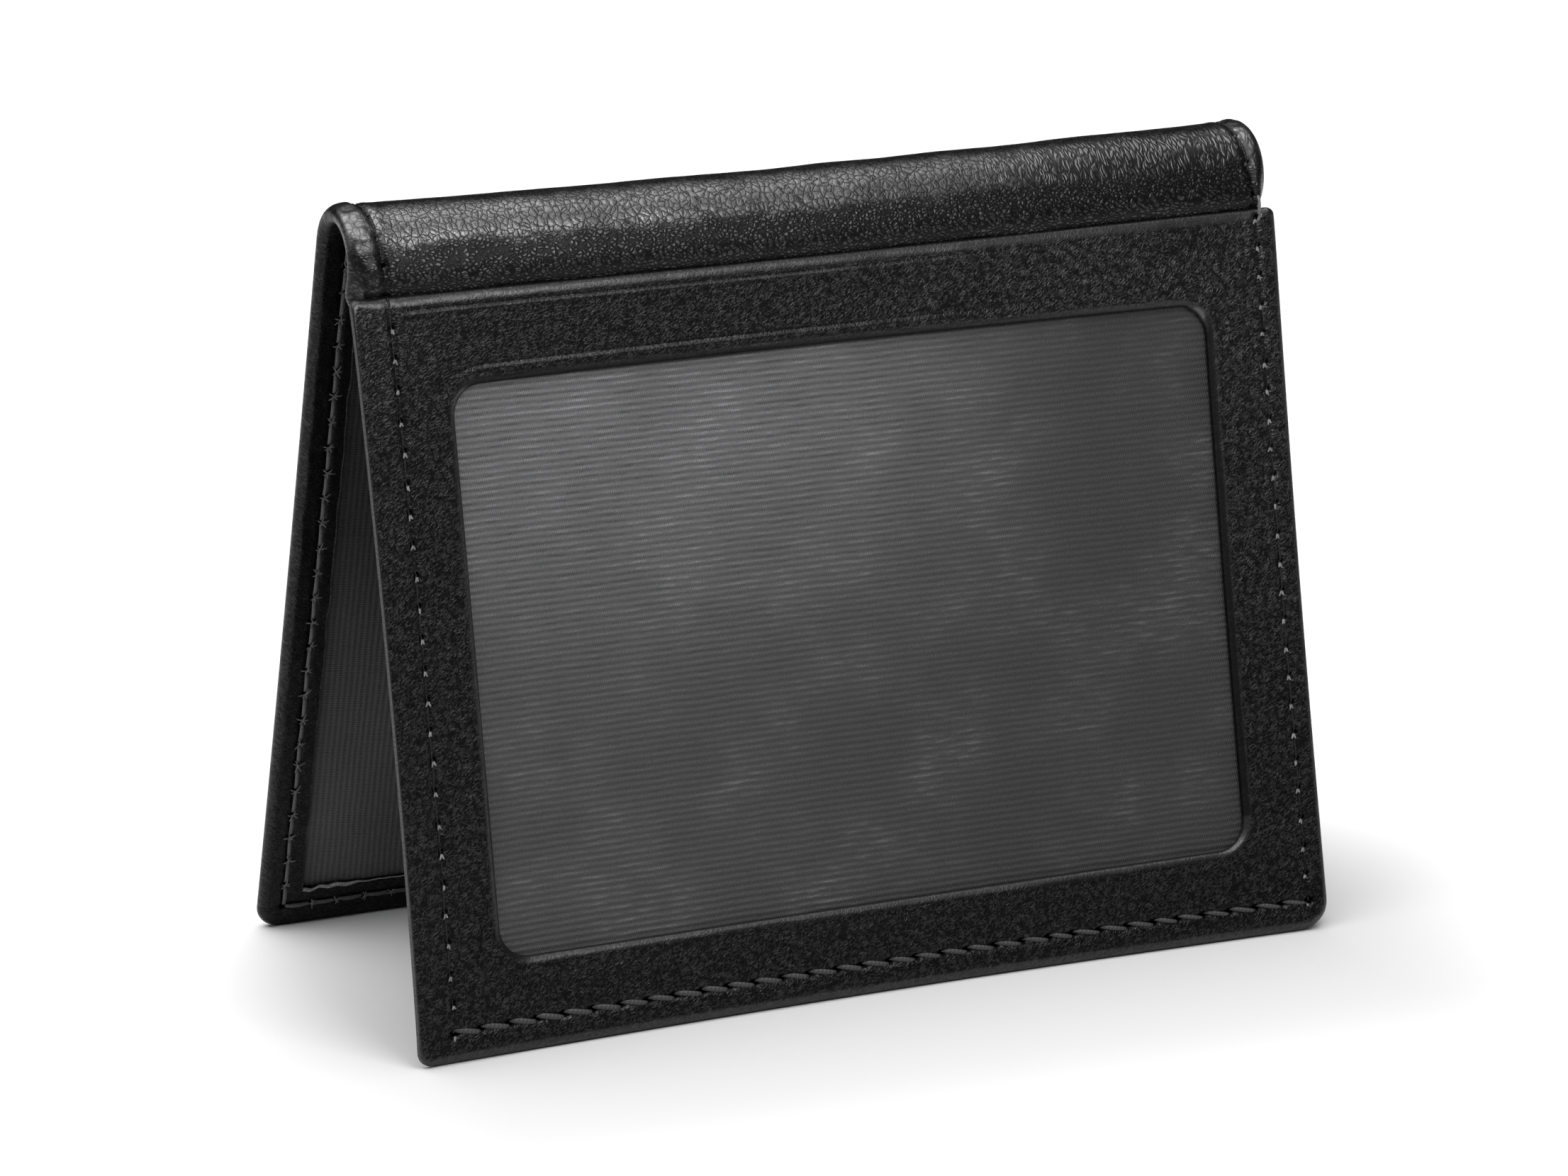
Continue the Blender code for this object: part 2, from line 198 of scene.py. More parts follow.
def rectangle_distance(x, y, left, right, low, high, radius):
    """Distance outside (positive) or inside (negative) a rectangle with round corners."""
    from_x = np.abs(x - (left + right) / 2) - (right - left) / 2 + radius
    from_y = np.abs(y - (low + high) / 2) - (high - low) / 2 + radius
    outside = np.hypot(np.maximum(from_x, 0), np.maximum(from_y, 0))
    return outside + np.minimum(np.maximum(from_x, from_y), 0) - radius


def bump_at(distance, width):
    """Soft bump of height 1 at distance 0."""
    return np.exp(-((distance / width) ** 2))


def smooth(value, start, end):
    """Smooth step from 0 at start to 1 at end."""
    t = np.clip((value - start) / (end - start), 0, 1)
    return t * t * (3 - 2 * t)


# Seams: the places of the needle holes, on the flat layout
SEAM_TURNS = [REAR_END, REAR_BEND, 0, PANEL_TOP, FRONT_END]
SEAM_X = {
    "left": [-0.0471, -0.0467, -0.0467, -0.0462, -0.0462],
    "right": [0.0474, 0.0470, 0.0470, 0.0478, 0.0478],
}
REAR_SEAM_END = REAR_END + SEAM_FROM_END
FRONT_SEAM_END = FRONT_END - SEAM_FROM_END
PANEL_STITCH = 0.00297
END_STITCH = 0.00294
ALONG_WANDER = 0.00012
ASIDE_WANDER = 0.00006
END_WANDER = 0.00015
PANEL_FIRST_HOLE = {"left": PANEL_TOP + 0.00275, "right": PANEL_TOP + 0.0008}
FOLD_LAST_HOLE = {"left": PANEL_TOP - 0.0004, "right": PANEL_TOP - 0.0021}


def seam_x(side, along):
    """Where a side seam runs."""
    return np.interp(along, SEAM_TURNS, SEAM_X[side])


def holes_between(start, end, pitch):
    """Hole places from start to end, as near to the pitch as whole stitches allow."""
    return np.linspace(start, end, int(round(abs(end - start) / pitch)) + 1)


def wander(values, size, seed):
    """Each value moved a little, the same way each run."""
    return values + np.random.default_rng(seed).uniform(-size, size, len(values))


SIDE_HOLES = {}
for number, side in enumerate(("left", "right")):
    on_rear = holes_between(REAR_SEAM_END, REAR_BEND, STITCH)
    on_fold = holes_between(REAR_BEND, FOLD_LAST_HOLE[side], STITCH)
    on_panel = holes_between(PANEL_FIRST_HOLE[side], FRONT_SEAM_END, PANEL_STITCH)
    along = np.concatenate([on_rear[:-1], on_fold, on_panel])
    along = np.concatenate([along[:1], wander(along[1:-1], ALONG_WANDER, 11 + number), along[-1:]])
    SIDE_HOLES[side] = np.stack([wander(seam_x(side, along), ASIDE_WANDER, 21 + number), along], -1)


def end_holes(along, seed):
    """Holes of the seam across a leaf's end, corner to corner."""
    left, right = float(seam_x("left", along)), float(seam_x("right", along))
    across = holes_between(left, right, END_STITCH)
    across = np.concatenate([across[:1], wander(across[1:-1], END_WANDER, seed), across[-1:]])
    return np.stack([across, np.full(len(across), along)], -1)


END_HOLES = {"rear": end_holes(REAR_SEAM_END, 31), "front": end_holes(FRONT_SEAM_END, 32)}


def near_holes(x, y, holes, width):
    """Sum of soft dimples at the holes."""
    total = np.zeros(x.shape)
    reach = 3 * width
    for hole_x, hole_y in holes:
        close = (np.abs(x - hole_x) < reach) & (np.abs(y - hole_y) < reach)
        total[close] += np.exp(-((x[close] - hole_x) ** 2 + (y[close] - hole_y) ** 2) / width**2)
    return total


# Material nodes
class Nodes:
    """Short names for building one material's node tree in millimetres of the flat layout."""

    def __init__(self, name):
        self.material = bpy.data.materials.new(name)
        self.material.use_nodes = True
        self.tree = self.material.node_tree
        uv = self.add("UVMap", {}, uv_map="flat")
        self.mm = self.scaled(uv.outputs[0], 1000.0)

    def link(self, source, target):
        if isinstance(source, (int, float, tuple)):
            target.default_value = source
        else:
            self.tree.links.new(source, target)

    def add(self, kind, inputs, **settings):
        """A new node with its settings made and its inputs linked or set."""
        node = self.tree.nodes.new("ShaderNode" + kind)
        for key, value in settings.items():
            setattr(node, key, value)
        for key, value in inputs.items():
            self.link(value, node.inputs[key])
        return node

    def scaled(self, vector, scale):
        return self.add("VectorMath", {0: vector, "Scale": scale}, operation="SCALE").outputs[0]

    def times(self, first, *others):
        for other in others:
            first = self.add("Math", {0: first, 1: other}, operation="MULTIPLY").outputs[0]
        return first

    def plus(self, first, second):
        return self.add("Math", {0: first, 1: second}, operation="ADD").outputs[0]

    def unsigned(self, value):
        return self.add("Math", {0: value}, operation="ABSOLUTE").outputs[0]

    def wave(self, value, pitch):
        """A sine wave between 0 and 1."""
        turns = self.times(value, 2 * math.pi / pitch)
        sine = self.add("Math", {0: turns}, operation="SINE").outputs[0]
        return self.add("Math", {0: sine, 1: 0.5, 2: 0.5}, operation="MULTIPLY_ADD").outputs[0]

    def noise(self, place, scale, detail=2.0, roughness=0.5, output="Fac"):
        inputs = {"Vector": place, "Scale": scale, "Detail": detail, "Roughness": roughness}
        return self.add("TexNoise", inputs).outputs[output]

    def cells(self, place, size):
        """Distance from the nearest border of cells of a size."""
        inputs = {"Vector": place, "Scale": 1 / size}
        return self.add("TexVoronoi", inputs, feature="DISTANCE_TO_EDGE").outputs["Distance"]

    def stretch(self, place, across, along, turn=0.0):
        """A place that runs faster or slower along two axes, turned by some degrees."""
        scale = (1 / across, 1 / along, 1.0)
        inputs = {"Vector": place, "Scale": scale, "Rotation": (0.0, 0.0, math.radians(turn))}
        return self.add("Mapping", inputs, vector_type="TEXTURE").outputs[0]

    def warped(self, place, scale, amount):
        """A place pushed about by noise, in millimetres."""
        colour = self.noise(place, scale, output="Color")
        centred = self.add("VectorMath", {0: colour, 1: (0.5, 0.5, 0.5)}, operation="SUBTRACT")
        push = self.scaled(centred.outputs[0], amount)
        return self.add("VectorMath", {0: place, 1: push}, operation="ADD").outputs[0]

    def ramp(self, value, low, high, start=0.0, end=1.0):
        """Value mapped smoothly from low..high to start..end."""
        inputs = {"Value": value, "From Min": low, "From Max": high, "To Min": start, "To Max": end}
        return self.add("MapRange", inputs, interpolation_type="SMOOTHSTEP").outputs["Result"]

    def mix(self, share, first, second):
        return self.add("Mix", {"Factor": share, "A": first, "B": second}).outputs["Result"]

    def mix_colour(self, share, first, second):
        inputs = {"Factor": share, 6: first, 7: second}
        return self.add("Mix", inputs, data_type="RGBA").outputs[2]

    def attribute(self, name):
        return self.add("Attribute", {}, attribute_name=name).outputs["Fac"]

    def split(self, place):
        made = self.add("SeparateXYZ", {0: place})
        return made.outputs["X"], made.outputs["Y"]

    def bump(self, height, depth):
        """Relief of a 0..1 height, depth metres deep."""
        return self.add("Bump", {"Height": height, "Distance": depth, "Strength": 1.0}).outputs["Normal"]

    def finish(self, colour, roughness, shine, normal=None):
        surface = self.tree.nodes["Principled BSDF"]
        self.link(colour, surface.inputs["Base Color"])
        self.link(roughness, surface.inputs["Roughness"])
        self.link(shine, surface.inputs["Specular IOR Level"])
        if normal is not None:
            self.link(normal, surface.inputs["Normal"])
        return self.material


def grey(level):
    """Neutral colour, a touch cool as the dye is."""
    return (level, level, level * 1.03, 1.0)


# Sizes of the leather's cells, in millimetres.
PEBBLE = 0.44
FURROWED = 0.9
PLATE = 0.72
HAIR_CRACKED = 0.5
WRINKLE = 0.8
FOLD_PEBBLE = 0.5
GRAIN_TURN = -35.0
GRAIN_DEPTH = 0.00005
# Pitch of the cloth's yarns, and of the thread's twist, in millimetres.
YARN = 0.21
TWIST = 0.42


def leather_grain(n, place):
    """Small curled lips cut by furrows, stronger in patches."""
    uneven = n.ramp(n.noise(place, 1.3), 0.3, 0.7, 0.45, 1.0)
    lips = n.ramp(n.cells(n.stretch(place, 0.85, 1.5, GRAIN_TURN), PEBBLE), 0.0, 0.3, 1.0, 0.0)
    furrow = n.ramp(n.cells(n.stretch(place, 0.8, 1.5, GRAIN_TURN), FURROWED), 0.0, 0.13, 0.3, 1.0)
    return n.plus(n.times(lips, uneven, furrow, 0.8), 0.08)


def fold_grain(n, grain, across, along):
    """Grain opened by the fold: cracked plates, upright wrinkles at the right, pebbles lower down."""
    torn = n.warped(n.mm, 1.2, 0.5)
    plate = n.cells(n.stretch(torn, 1.0, 0.95), PLATE)
    hair = n.cells(n.stretch(torn, 1.1, 1.0, 20.0), HAIR_CRACKED)
    crack = n.ramp(plate, 0.0, 0.075, 0.12, 1.0)
    dome = n.ramp(plate, 0.0, 0.5, 0.55, 1.0)
    cracked = n.times(crack, dome, n.ramp(hair, 0.0, 0.06, 0.6, 1.0))
    upright = n.stretch(n.warped(n.mm, 0.7, 0.8), 2.0, 0.6)
    wrinkle = n.ramp(n.cells(upright, WRINKLE), 0.0, 0.3, 0.1, 0.9)
    level = n.stretch(n.warped(n.mm, 0.9, 0.6), 0.95, 1.6)
    pebble = n.ramp(n.cells(level, FOLD_PEBBLE), 0.0, 0.36, 0.05, 0.9)
    worn = n.mix(n.ramp(across, 8.0, 32.0), cracked, wrinkle)
    down = n.plus(along, n.times(n.noise(n.mm, 0.35), 2.6))
    zone = n.times(n.ramp(down, 1.8, 3.6), n.ramp(along, 24.0, 14.0))
    return n.mix(zone, grain, n.mix(n.ramp(down, 6.6, 8.4), worn, pebble)), zone, down


def leather_material(name, fold):
    """Black grained leather; over the fold the grain opens and is worn glossy by handling, its shine raised
    towards the left as a painted highlight; on the panel a painted sheen raises the shine towards the top
    right.
    """
    n = Nodes(name)
    across, along = n.split(n.mm)
    plain, painted_shade = n.attribute("plain"), n.attribute("painted_shade")
    place = n.warped(n.warped(n.mm, 0.55, 0.7), 2.4, 0.3)
    height = leather_grain(n, place)
    if fold:
        height, zone, down = fold_grain(n, height, across, along)
    height = n.mix(n.times(plain, 0.8), height, 0.5)
    fine = n.noise(place, 7.0, 3.0, 0.6)
    tone = n.ramp(n.plus(height, n.times(fine, 0.25)), 0.15, 1.0)
    colour = n.mix_colour(tone, grey(0.001), grey(0.004))
    # painted shade: needle holes and the window's shaded lips are darkened and lose their shine
    colour = n.mix_colour(n.ramp(painted_shade, 0.15, 0.6), colour, grey(0.0008))
    shine = n.ramp(tone, 0.0, 1.0, 0.12, 0.46)
    if fold:
        # painted highlight: the fold's shine grows towards the left, where the light is nearer
        to_left = n.ramp(across, 44.0, -46.0, 0.62, 1.0)
        polish_and_painted_highlight = n.times(zone, n.ramp(down, 5.6, 8.6, 1.0, 0.0), to_left)
        shine = n.times(shine, n.plus(n.times(polish_and_painted_highlight, 2.7), n.ramp(zone, 0.0, 1.0, 0.7, 1.1)))
    else:
        # painted sheen: the panel's shine raised towards the top right, standing in for reflected light there
        painted_sheen_top_right = n.times(n.ramp(across, -20.0, 50.0), n.ramp(along, 75.0, 15.0, 0.0, 0.8))
        shine = n.times(shine, n.plus(painted_sheen_top_right, 0.84), n.ramp(plain, 0.3, 1.0, 1.0, 2.0))
    shine = n.times(shine, n.ramp(painted_shade, 0.1, 0.5, 1.0, 0.0))
    roughness = n.ramp(tone, 0.0, 1.0, 0.42, 0.33)
    return n.finish(colour, roughness, shine, n.bump(height, GRAIN_DEPTH))


def painted_light_patches(n, across, along, dash, patch, height):
    """How much lighter the pocket's cloth is painted: painted sheen in dashes along the ribs, and a wide
    patch of painted light at the top left.
    """
    flecks = n.times(dash, n.times(n.ramp(patch, 0.45, 0.7), 0.9))
    at_top = n.times(n.ramp(along, 60.0, 20.0), n.ramp(across, 32.0, -5.0), 2.0)
    wide = n.plus(n.times(n.ramp(across, 30.0, -38.0), 0.65), at_top)
    ribs = n.mix(dash, 1.0, n.ramp(height, 0.2, 0.9, 0.25, 1.9))
    return n.times(n.plus(flecks, wide), ribs)


def ribbed_material(name, level, pitch, slant, in_pocket):
    """Ribbed cloth with fine slanting yarns. The pocket's ribs run across and carry painted light: sheen in
    flecks and a lighter patch at the top left. The lining has painted shade, darker towards the fold.
    """
    n = Nodes(name)
    across, along = n.split(n.mm)
    beside, over = n.split(n.warped(n.mm, 0.25, 0.22))
    if not in_pocket:
        beside, over = over, beside
    rib = n.wave(over, pitch)
    leaning = n.plus(beside, n.times(over, slant))
    yarn = n.wave(n.plus(leaning, n.times(n.noise(n.mm, 2.6), 0.22)), YARN)
    fuzz = n.noise(n.mm, 7.0, 3.0, 0.65)
    height = n.plus(n.times(rib, 0.4), n.times(yarn, 0.25))
    normal = n.bump(n.plus(height, n.times(fuzz, 0.05)), 0.00013)
    height = n.plus(height, n.times(fuzz, 0.35))
    patch = n.noise(n.mm, 0.09)
    tone = n.ramp(n.plus(n.times(height, 0.5), n.times(fuzz, 0.4)), 0.15, 0.85, 0.55, 1.3)
    tone = n.times(tone, n.ramp(patch, 0.3, 0.7, 0.92, 1.1))
    if in_pocket:
        dash = n.ramp(n.noise(n.stretch(n.mm, 0.35, 2.2), 1.1, 2.0, 0.6), 0.42, 0.7)
        # painted light and painted sheen on the pocket cloth, lighter in flecks and towards the top left
        tone = n.times(tone, n.plus(painted_light_patches(n, across, along, dash, patch, height), 1.0))
    else:
        # painted shade and painted light: the lining is darker near the fold, deep inside the case, and
        # lighter towards the leaves' ends
        tone = n.times(tone, n.ramp(n.unsigned(along), 26.0, 78.0, 0.3, 1.25))
    return n.finish(n.scaled(grey(level)[:3], tone), 0.6, 0.3, normal)


def thread_material(name, level):
    """Twisted black thread, its turns catching the light; the lit attribute raises its colour towards pale
    grey, for painted glints on knots and stitches and for paler frayed tufts.
    """
    n = Nodes(name)
    across, along = n.split(n.mm)
    turn = n.wave(n.plus(along, n.times(across, TWIST)), TWIST)
    fuzz = n.noise(n.stretch(n.mm, 6.0, 9.0), 2.0, 3.0, 0.7)
    height = n.plus(n.times(turn, 0.35), n.times(fuzz, 0.65))
    colour = n.mix_colour(height, grey(level * 0.5), grey(level * 1.4))
    # painted glint: where lit, the thread's colour is raised towards pale grey
    colour = n.mix_colour(n.attribute("lit"), colour, grey(0.2))
    return n.finish(colour, 0.5, 0.25, n.bump(turn, 0.00003))


def raw_edge_material(name, low, high):
    """Cut leather edge, paler than the grain side from rubbing."""
    n = Nodes(name)
    fibres = n.noise(n.mm, 4.0, 4.0, 0.7)
    colour = n.mix_colour(n.ramp(fibres, 0.35, 0.65), grey(low), grey(high))
    return n.finish(colour, 0.6, 0.3, n.bump(fibres, 0.00002))


shell_leather = leather_material("shell_leather_grain", True)
panel_leather = leather_material("panel_leather_grain", False)
lining_cloth = ribbed_material("lining_rib_cloth", 0.075, 0.62, 0.15, False)
pocket_cloth = ribbed_material("pocket_rib_cloth", 0.032, 0.655, 0.35, True)
dark_thread = thread_material("black_thread", 0.008)
# painted sheen: the same black thread painted lighter to stand in for its sheen
sheen_painted_thread = thread_material("black_thread_painted_sheen", 0.05)
raw_edge = raw_edge_material("raw_leather_edge", 0.01, 0.05)
frayed_edge = raw_edge_material("frayed_leather_edge", 0.1, 0.4)


# The shell's leather: an outer face, rolled edges and turned-in hems
HEM_WALL = 0.00062
ROLL_STEPS = 9
FINE = 0.00022
ACROSS_STEP = 0.0006
REAR_STEP = 0.00036
HIDDEN_STEP = 0.0008
RAGGED = 0.00011
EDGE_LINES = chain(EDGE * (1 - np.cos(np.linspace(0, math.pi / 2, ROLL_STEPS))), steps(EDGE, HEM, FINE))


def rolled(distance):
    """How far a rolled edge has dropped, from its full half depth at the edge to 0."""
    from_centre = np.clip(EDGE - distance, 0, EDGE)
    return EDGE - np.sqrt(EDGE**2 - from_centre**2)


def round_corners(x, y, half_width, low, high, radius):
    """Grid points with the rectangle's corners drawn round, and each point's distance from the edge."""
    x, y = x.copy(), y.copy()
    from_x = half_width - np.abs(x)
    from_y = np.minimum(y - low, high - y)
    distance = np.minimum(from_x, from_y)
    corner = (from_x < radius) & (from_y < radius)
    over, up = radius - from_x[corner], radius - from_y[corner]
    reach = np.maximum(over, up)
    share = np.minimum(over, up) / np.maximum(reach, 1e-12)
    angle = np.where(over >= up, share, 2 - share) * math.pi / 4
    at_low = (y - low < high - y)[corner]
    x[corner] = np.sign(x[corner]) * (half_width - radius + reach * np.cos(angle))
    rise = reach * np.sin(angle)
    y[corner] = np.where(at_low, low + radius - rise, high - radius + rise)
    return x, y, distance


def on_the_fold(along):
    """1 over the bent part of the shell, 0 on the leaves."""
    return smooth(along, -0.0075, -0.004) * (1 - smooth(along, 0.0095, 0.0115))


def shell_relief(x, y):
    """Height of the outer face's grooves, puffed margins, wrinkles and unevenness."""
    relief = 0.00004 * ripples(x, y, 0.011, 41) + 0.000015 * ripples(x, y, 0.004, 42)
    fold = on_the_fold(y)
    for side, outward in (("left", -1), ("right", 1)):
        off = (x - seam_x(side, y)) * outward
        outside = smooth(off, 0.0001, 0.0008)
        relief -= 0.00022 * bump_at(off, 0.00034)
        relief += 0.00013 * bump_at(off - 0.0011, 0.0008)
        relief += 0.00009 * outside * fold * ripples(0.3 * x, y, 0.0017, 43)
        relief += 0.00004 * outside * (1 - fold) * ripples(0.5 * x, y, 0.003, 44)
        relief += 0.00006 * bump_at(off + 0.0007, 0.0006)
        holes = SIDE_HOLES[side][SIDE_HOLES[side][:, 1] < PANEL_TOP]
        relief -= 0.00022 * near_holes(x, y, holes, 0.00032)
    corner = float(seam_x("left", REAR_END))
    between = smooth(x, corner - 0.0003, corner + 0.0003)
    between = between * (1 - smooth(x, 0.0471, 0.0477))
    off = REAR_SEAM_END - y
    relief -= 0.0002 * between * bump_at(off, 0.00034)
    relief += 0.0001 * between * bump_at(off - 0.0011, 0.0008)
    relief -= 0.00022 * near_holes(x, y, END_HOLES["rear"], 0.00032)
    swell = smooth(y, PANEL_TOP - 0.0048, PANEL_TOP - 0.0012)
    swell = swell * (1 - smooth(y, PANEL_TOP + 0.0002, PANEL_TOP + 0.002))
    relief += 0.00105 * swell * smooth(HALF_SHELL - np.abs(x), 0.0002, 0.0016)
    return relief


def shell_pits(x, y):
    """1 in the needle holes of the outer face, 0 away from them."""
    holes = np.concatenate([SIDE_HOLES["left"], SIDE_HOLES["right"], END_HOLES["rear"]])
    return near_holes(x, y, holes[holes[:, 1] < PANEL_TOP], 0.00022)


def hem_pits(x, y):
    """1 in the needle holes of the hem, 0 away from them."""
    return near_holes(x, y, np.concatenate([*SIDE_HOLES.values(), *END_HOLES.values()]), 0.00028)


def outside_seams(x, y):
    """1 between a side seam and the shell's edge, 0 elsewhere."""
    left = smooth(seam_x("left", y) - x, 0.0, 0.0006)
    right = smooth(x - seam_x("right", y), 0.0, 0.0006)
    return left + right


def behind_panel(x, y):
    """How far the front leaf's left edge stands in behind the panel."""
    return 0.0010 * smooth(y, PANEL_TOP - 0.0005, PANEL_TOP + 0.003) * smooth(-x, 0.038, 0.0485)


def hem_relief(x, y):
    """Height of the turned-in hem's seam grooves and unevenness, towards the leather."""
    relief = 0.00003 * ripples(x, y, 0.006, 51) + 0.00002 * ripples(x, y, 0.0025, 52)
    for side in ("left", "right"):
        off = x - seam_x(side, y)
        relief -= 0.00014 * bump_at(off, 0.0003)
        relief -= 0.0002 * near_holes(x, y, SIDE_HOLES[side], 0.0003)
    for leaf, along in (("rear", REAR_SEAM_END), ("front", FRONT_SEAM_END)):
        relief -= 0.00014 * bump_at(y - along, 0.0003)
        relief -= 0.0002 * near_holes(x, y, END_HOLES[leaf], 0.0003)
    return relief


def shell_surface():
    """The whole shell's points on the flat layout, its faces, and where its edges are smooth."""
    middle = steps(HEM - HALF_SHELL, HALF_SHELL - HEM, ACROSS_STEP)
    columns = chain(-HALF_SHELL + EDGE_LINES, middle, HALF_SHELL - EDGE_LINES[::-1])
    rows = chain(
        REAR_END + EDGE_LINES,
        steps(REAR_END + HEM, REAR_BEND - 0.001, REAR_STEP),
        over_fold(REAR_BEND - 0.001, PANEL_TOP + 0.001, FINE),
        steps(PANEL_TOP + 0.001, FRONT_END - HEM, HIDDEN_STEP),
        FRONT_END - EDGE_LINES[::-1],
    )
    across, along = np.meshgrid(columns, rows)
    x, y, distance = round_corners(across, along, HALF_SHELL, REAR_END, FRONT_END, SHELL_CORNER)
    settle = smooth(distance, 0.0002, 0.0011)
    outer = np.stack([x, y, settle * shell_relief(x, y) - rolled(distance)], -1)
    ragged = smooth(distance, 0.0034, HEM) * RAGGED * ripples(across, along, 0.0045, 53)
    inward_x = np.where(distance == HALF_SHELL - np.abs(across), -np.sign(across), 0)
    inward_y = np.where(inward_x == 0, np.where(along < 0, 1, -1), 0)
    hem_x, hem_y = x + ragged * inward_x, y + ragged * inward_y
    hem = np.stack([hem_x, hem_y, rolled(distance) - SHELL_DEPTH - settle * hem_relief(x, y)], -1)
    wall = hem.copy()
    wall[..., 2] += HEM_WALL
    shape = across.shape
    middle = (distance[:-1, :-1] + distance[1:, 1:] + distance[:-1, 1:] + distance[1:, :-1]) / 4
    count = outer[..., 0].size
    outer_faces = quads(*shape)[:, ::-1]
    hem_faces = quads(*shape, keep=middle < HEM) + count
    near, far = (hem_rim(distance, shape) + count).T
    wall_faces = np.stack([near, far, far + count, near + count], -1)
    for part in (outer, hem, wall):
        part[..., 0] += behind_panel(part[..., 0], part[..., 1])
    points = np.concatenate([part.reshape(-1, 3) for part in (outer, hem, wall)])
    none = np.zeros(shape)
    margin = np.maximum(0.7 * bump_at(distance, 0.0007), 0.65 * outside_seams(x, y))
    plain = np.concatenate([part.ravel() for part in (margin, none + 0.7, none + 1)])
    # painted shade in the needle holes of the outer face and the hem
    painted_shade = np.concatenate([part.ravel() for part in (shell_pits(x, y), hem_pits(x, y), none)])
    faces = np.concatenate([outer_faces, hem_faces, wall_faces])
    return points, faces, plain, painted_shade


def hem_rim(distance, shape):
    """Edges of the grid that run along the hem's cut line, as pairs of indices."""
    index = np.arange(shape[0] * shape[1]).reshape(shape)
    on_rim = np.abs(distance - HEM) < 1e-7
    down = on_rim[:-1] & on_rim[1:]
    over = on_rim[:, :-1] & on_rim[:, 1:]
    first = np.concatenate([index[:-1][down], index[:, :-1][over]])
    second = np.concatenate([index[1:][down], index[:, 1:][over]])
    return np.stack([first, second], -1)


def merged(points, faces, *values):
    """Points without duplicates or strays; faces and per-point values follow."""
    used = np.unique(faces)
    keys = np.round(points[used] / 1e-7).astype(np.int64)
    _, first, inverse = np.unique(keys, axis=0, return_index=True, return_inverse=True)
    renumber = np.zeros(len(points), int)
    renumber[used] = inverse.ravel()
    kept = used[first]
    return (points[kept], renumber[faces], *(value[kept] for value in values))


def point_normals(points, faces):
    """Normals averaged over the faces around each point."""
    corners = points[faces]
    cross = np.cross(corners[:, 2] - corners[:, 0], corners[:, 3] - corners[:, 1])
    normals = np.zeros(points.shape)
    for corner in range(4):
        np.add.at(normals, faces[:, corner], cross)
    return normals / np.maximum(np.linalg.norm(normals, axis=1, keepdims=True), 1e-20)


# The bodies in order, and the four strips that reach from one body to the next.
STRIP_NAMES = ["rear", "fold_1", "fold_2", "front"]
STRIP_LIMITS = [REAR_END - 1, *SPLIT, FRONT_END + 1]


def bent_strips(names, flat, faces, material, attributes):
    """The flat surface stood up and split where the shell's strips meet, with one smooth shading."""
    placed = stand(flat)
    normals = point_normals(placed, faces)
    middle = flat[faces, 1].mean(axis=1)
    strips = []
    for number, name in enumerate(names):
        chosen = faces[(middle > STRIP_LIMITS[number]) & (middle < STRIP_LIMITS[number + 1])]
        used, inverse = np.unique(chosen, return_inverse=True)
        own = {key: value[used] for key, value in attributes.items()}
        local = inverse.reshape(chosen.shape)
        strip = new_mesh_object(name, placed[used], local, material, flat[used], own)
        strip.data.normals_split_custom_set_from_vertices(normals[used].tolist())
        blend_over_hinge(strip)
        strips.append(strip)
    return strips


def blend_over_hinge(piece):
    """Bakes the piece's placement into its mesh."""
    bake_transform(piece)


def make_shell():
    flat, faces, plain, painted_shade = merged(*shell_surface())
    names = ["rear_leather", "fold_leather_1", "fold_leather_2", "front_leather"]
    strips = bent_strips(names, flat, faces, shell_leather, {"plain": plain, "painted_shade": painted_shade})
    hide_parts("rear_shell", "spine_leather_1")
    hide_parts("spine_leather_2")
    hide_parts("spine_leather_3")
    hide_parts("front_shell")


# Lining
LINING_FACE = -0.0012
LINING_INSET = 0.0034
CLOTH_STEP = 0.0012
FOLD_CLOTH_STEP = 0.0004


def make_lining():
    side = HALF_SHELL - LINING_INSET
    columns = steps(-side, side, 0.0009)
    rows = chain(
        steps(REAR_END + LINING_INSET, REAR_BEND, CLOTH_STEP),
        over_fold(REAR_BEND, PANEL_TOP, FOLD_CLOTH_STEP),
        steps(PANEL_TOP, FRONT_END - LINING_INSET, CLOTH_STEP),
    )
    x, y = np.meshgrid(columns, rows)
    loose = smooth(side - np.abs(x), 0.001, 0.008) * 0.00012
    height = LINING_FACE - loose * (1 + ripples(x, y, 0.02, 61))
    flat = np.stack([x, y, height], -1).reshape(-1, 3)
    faces = quads(*x.shape)
    names = ["rear_lining_cloth", "fold_lining_cloth_1", "fold_lining_cloth_2", "front_lining_cloth"]
    strips = bent_strips(names, flat, faces, lining_cloth, {})
    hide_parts("rear_lining", "spine_lining_1")
    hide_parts("spine_lining_2")
    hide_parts("spine_lining_3")
    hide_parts("front_lining")


# The window panel and the pocket's cloth
WINDOW_LEFT = -HALF_PANEL + WINDOW_MARGINS["left"]
WINDOW_RIGHT = HALF_PANEL - WINDOW_MARGINS["right"]
WINDOW_TOP = PANEL_TOP + WINDOW_MARGINS["top"]
WINDOW_BOTTOM = PANEL_END - WINDOW_MARGINS["bottom"]
WINDOW_MIDDLE = (WINDOW_TOP + WINDOW_BOTTOM) / 2
ARCH_TOP = 0.00025
ARCH_BOTTOM = 0.00019
LIP = 0.0009
LIP_DEPTH = 0.0007
# Width and depth of the rounding along each side of the panel.
SIDE_ROUNDING = {
    "left": (0.00016, 0.0001),
    "right": (0.0005, 0.0003),
    "top": (0.0011, 0.00065),
    "bottom": (0.0009, 0.0007),
}
SIDE_MIX = 0.0007
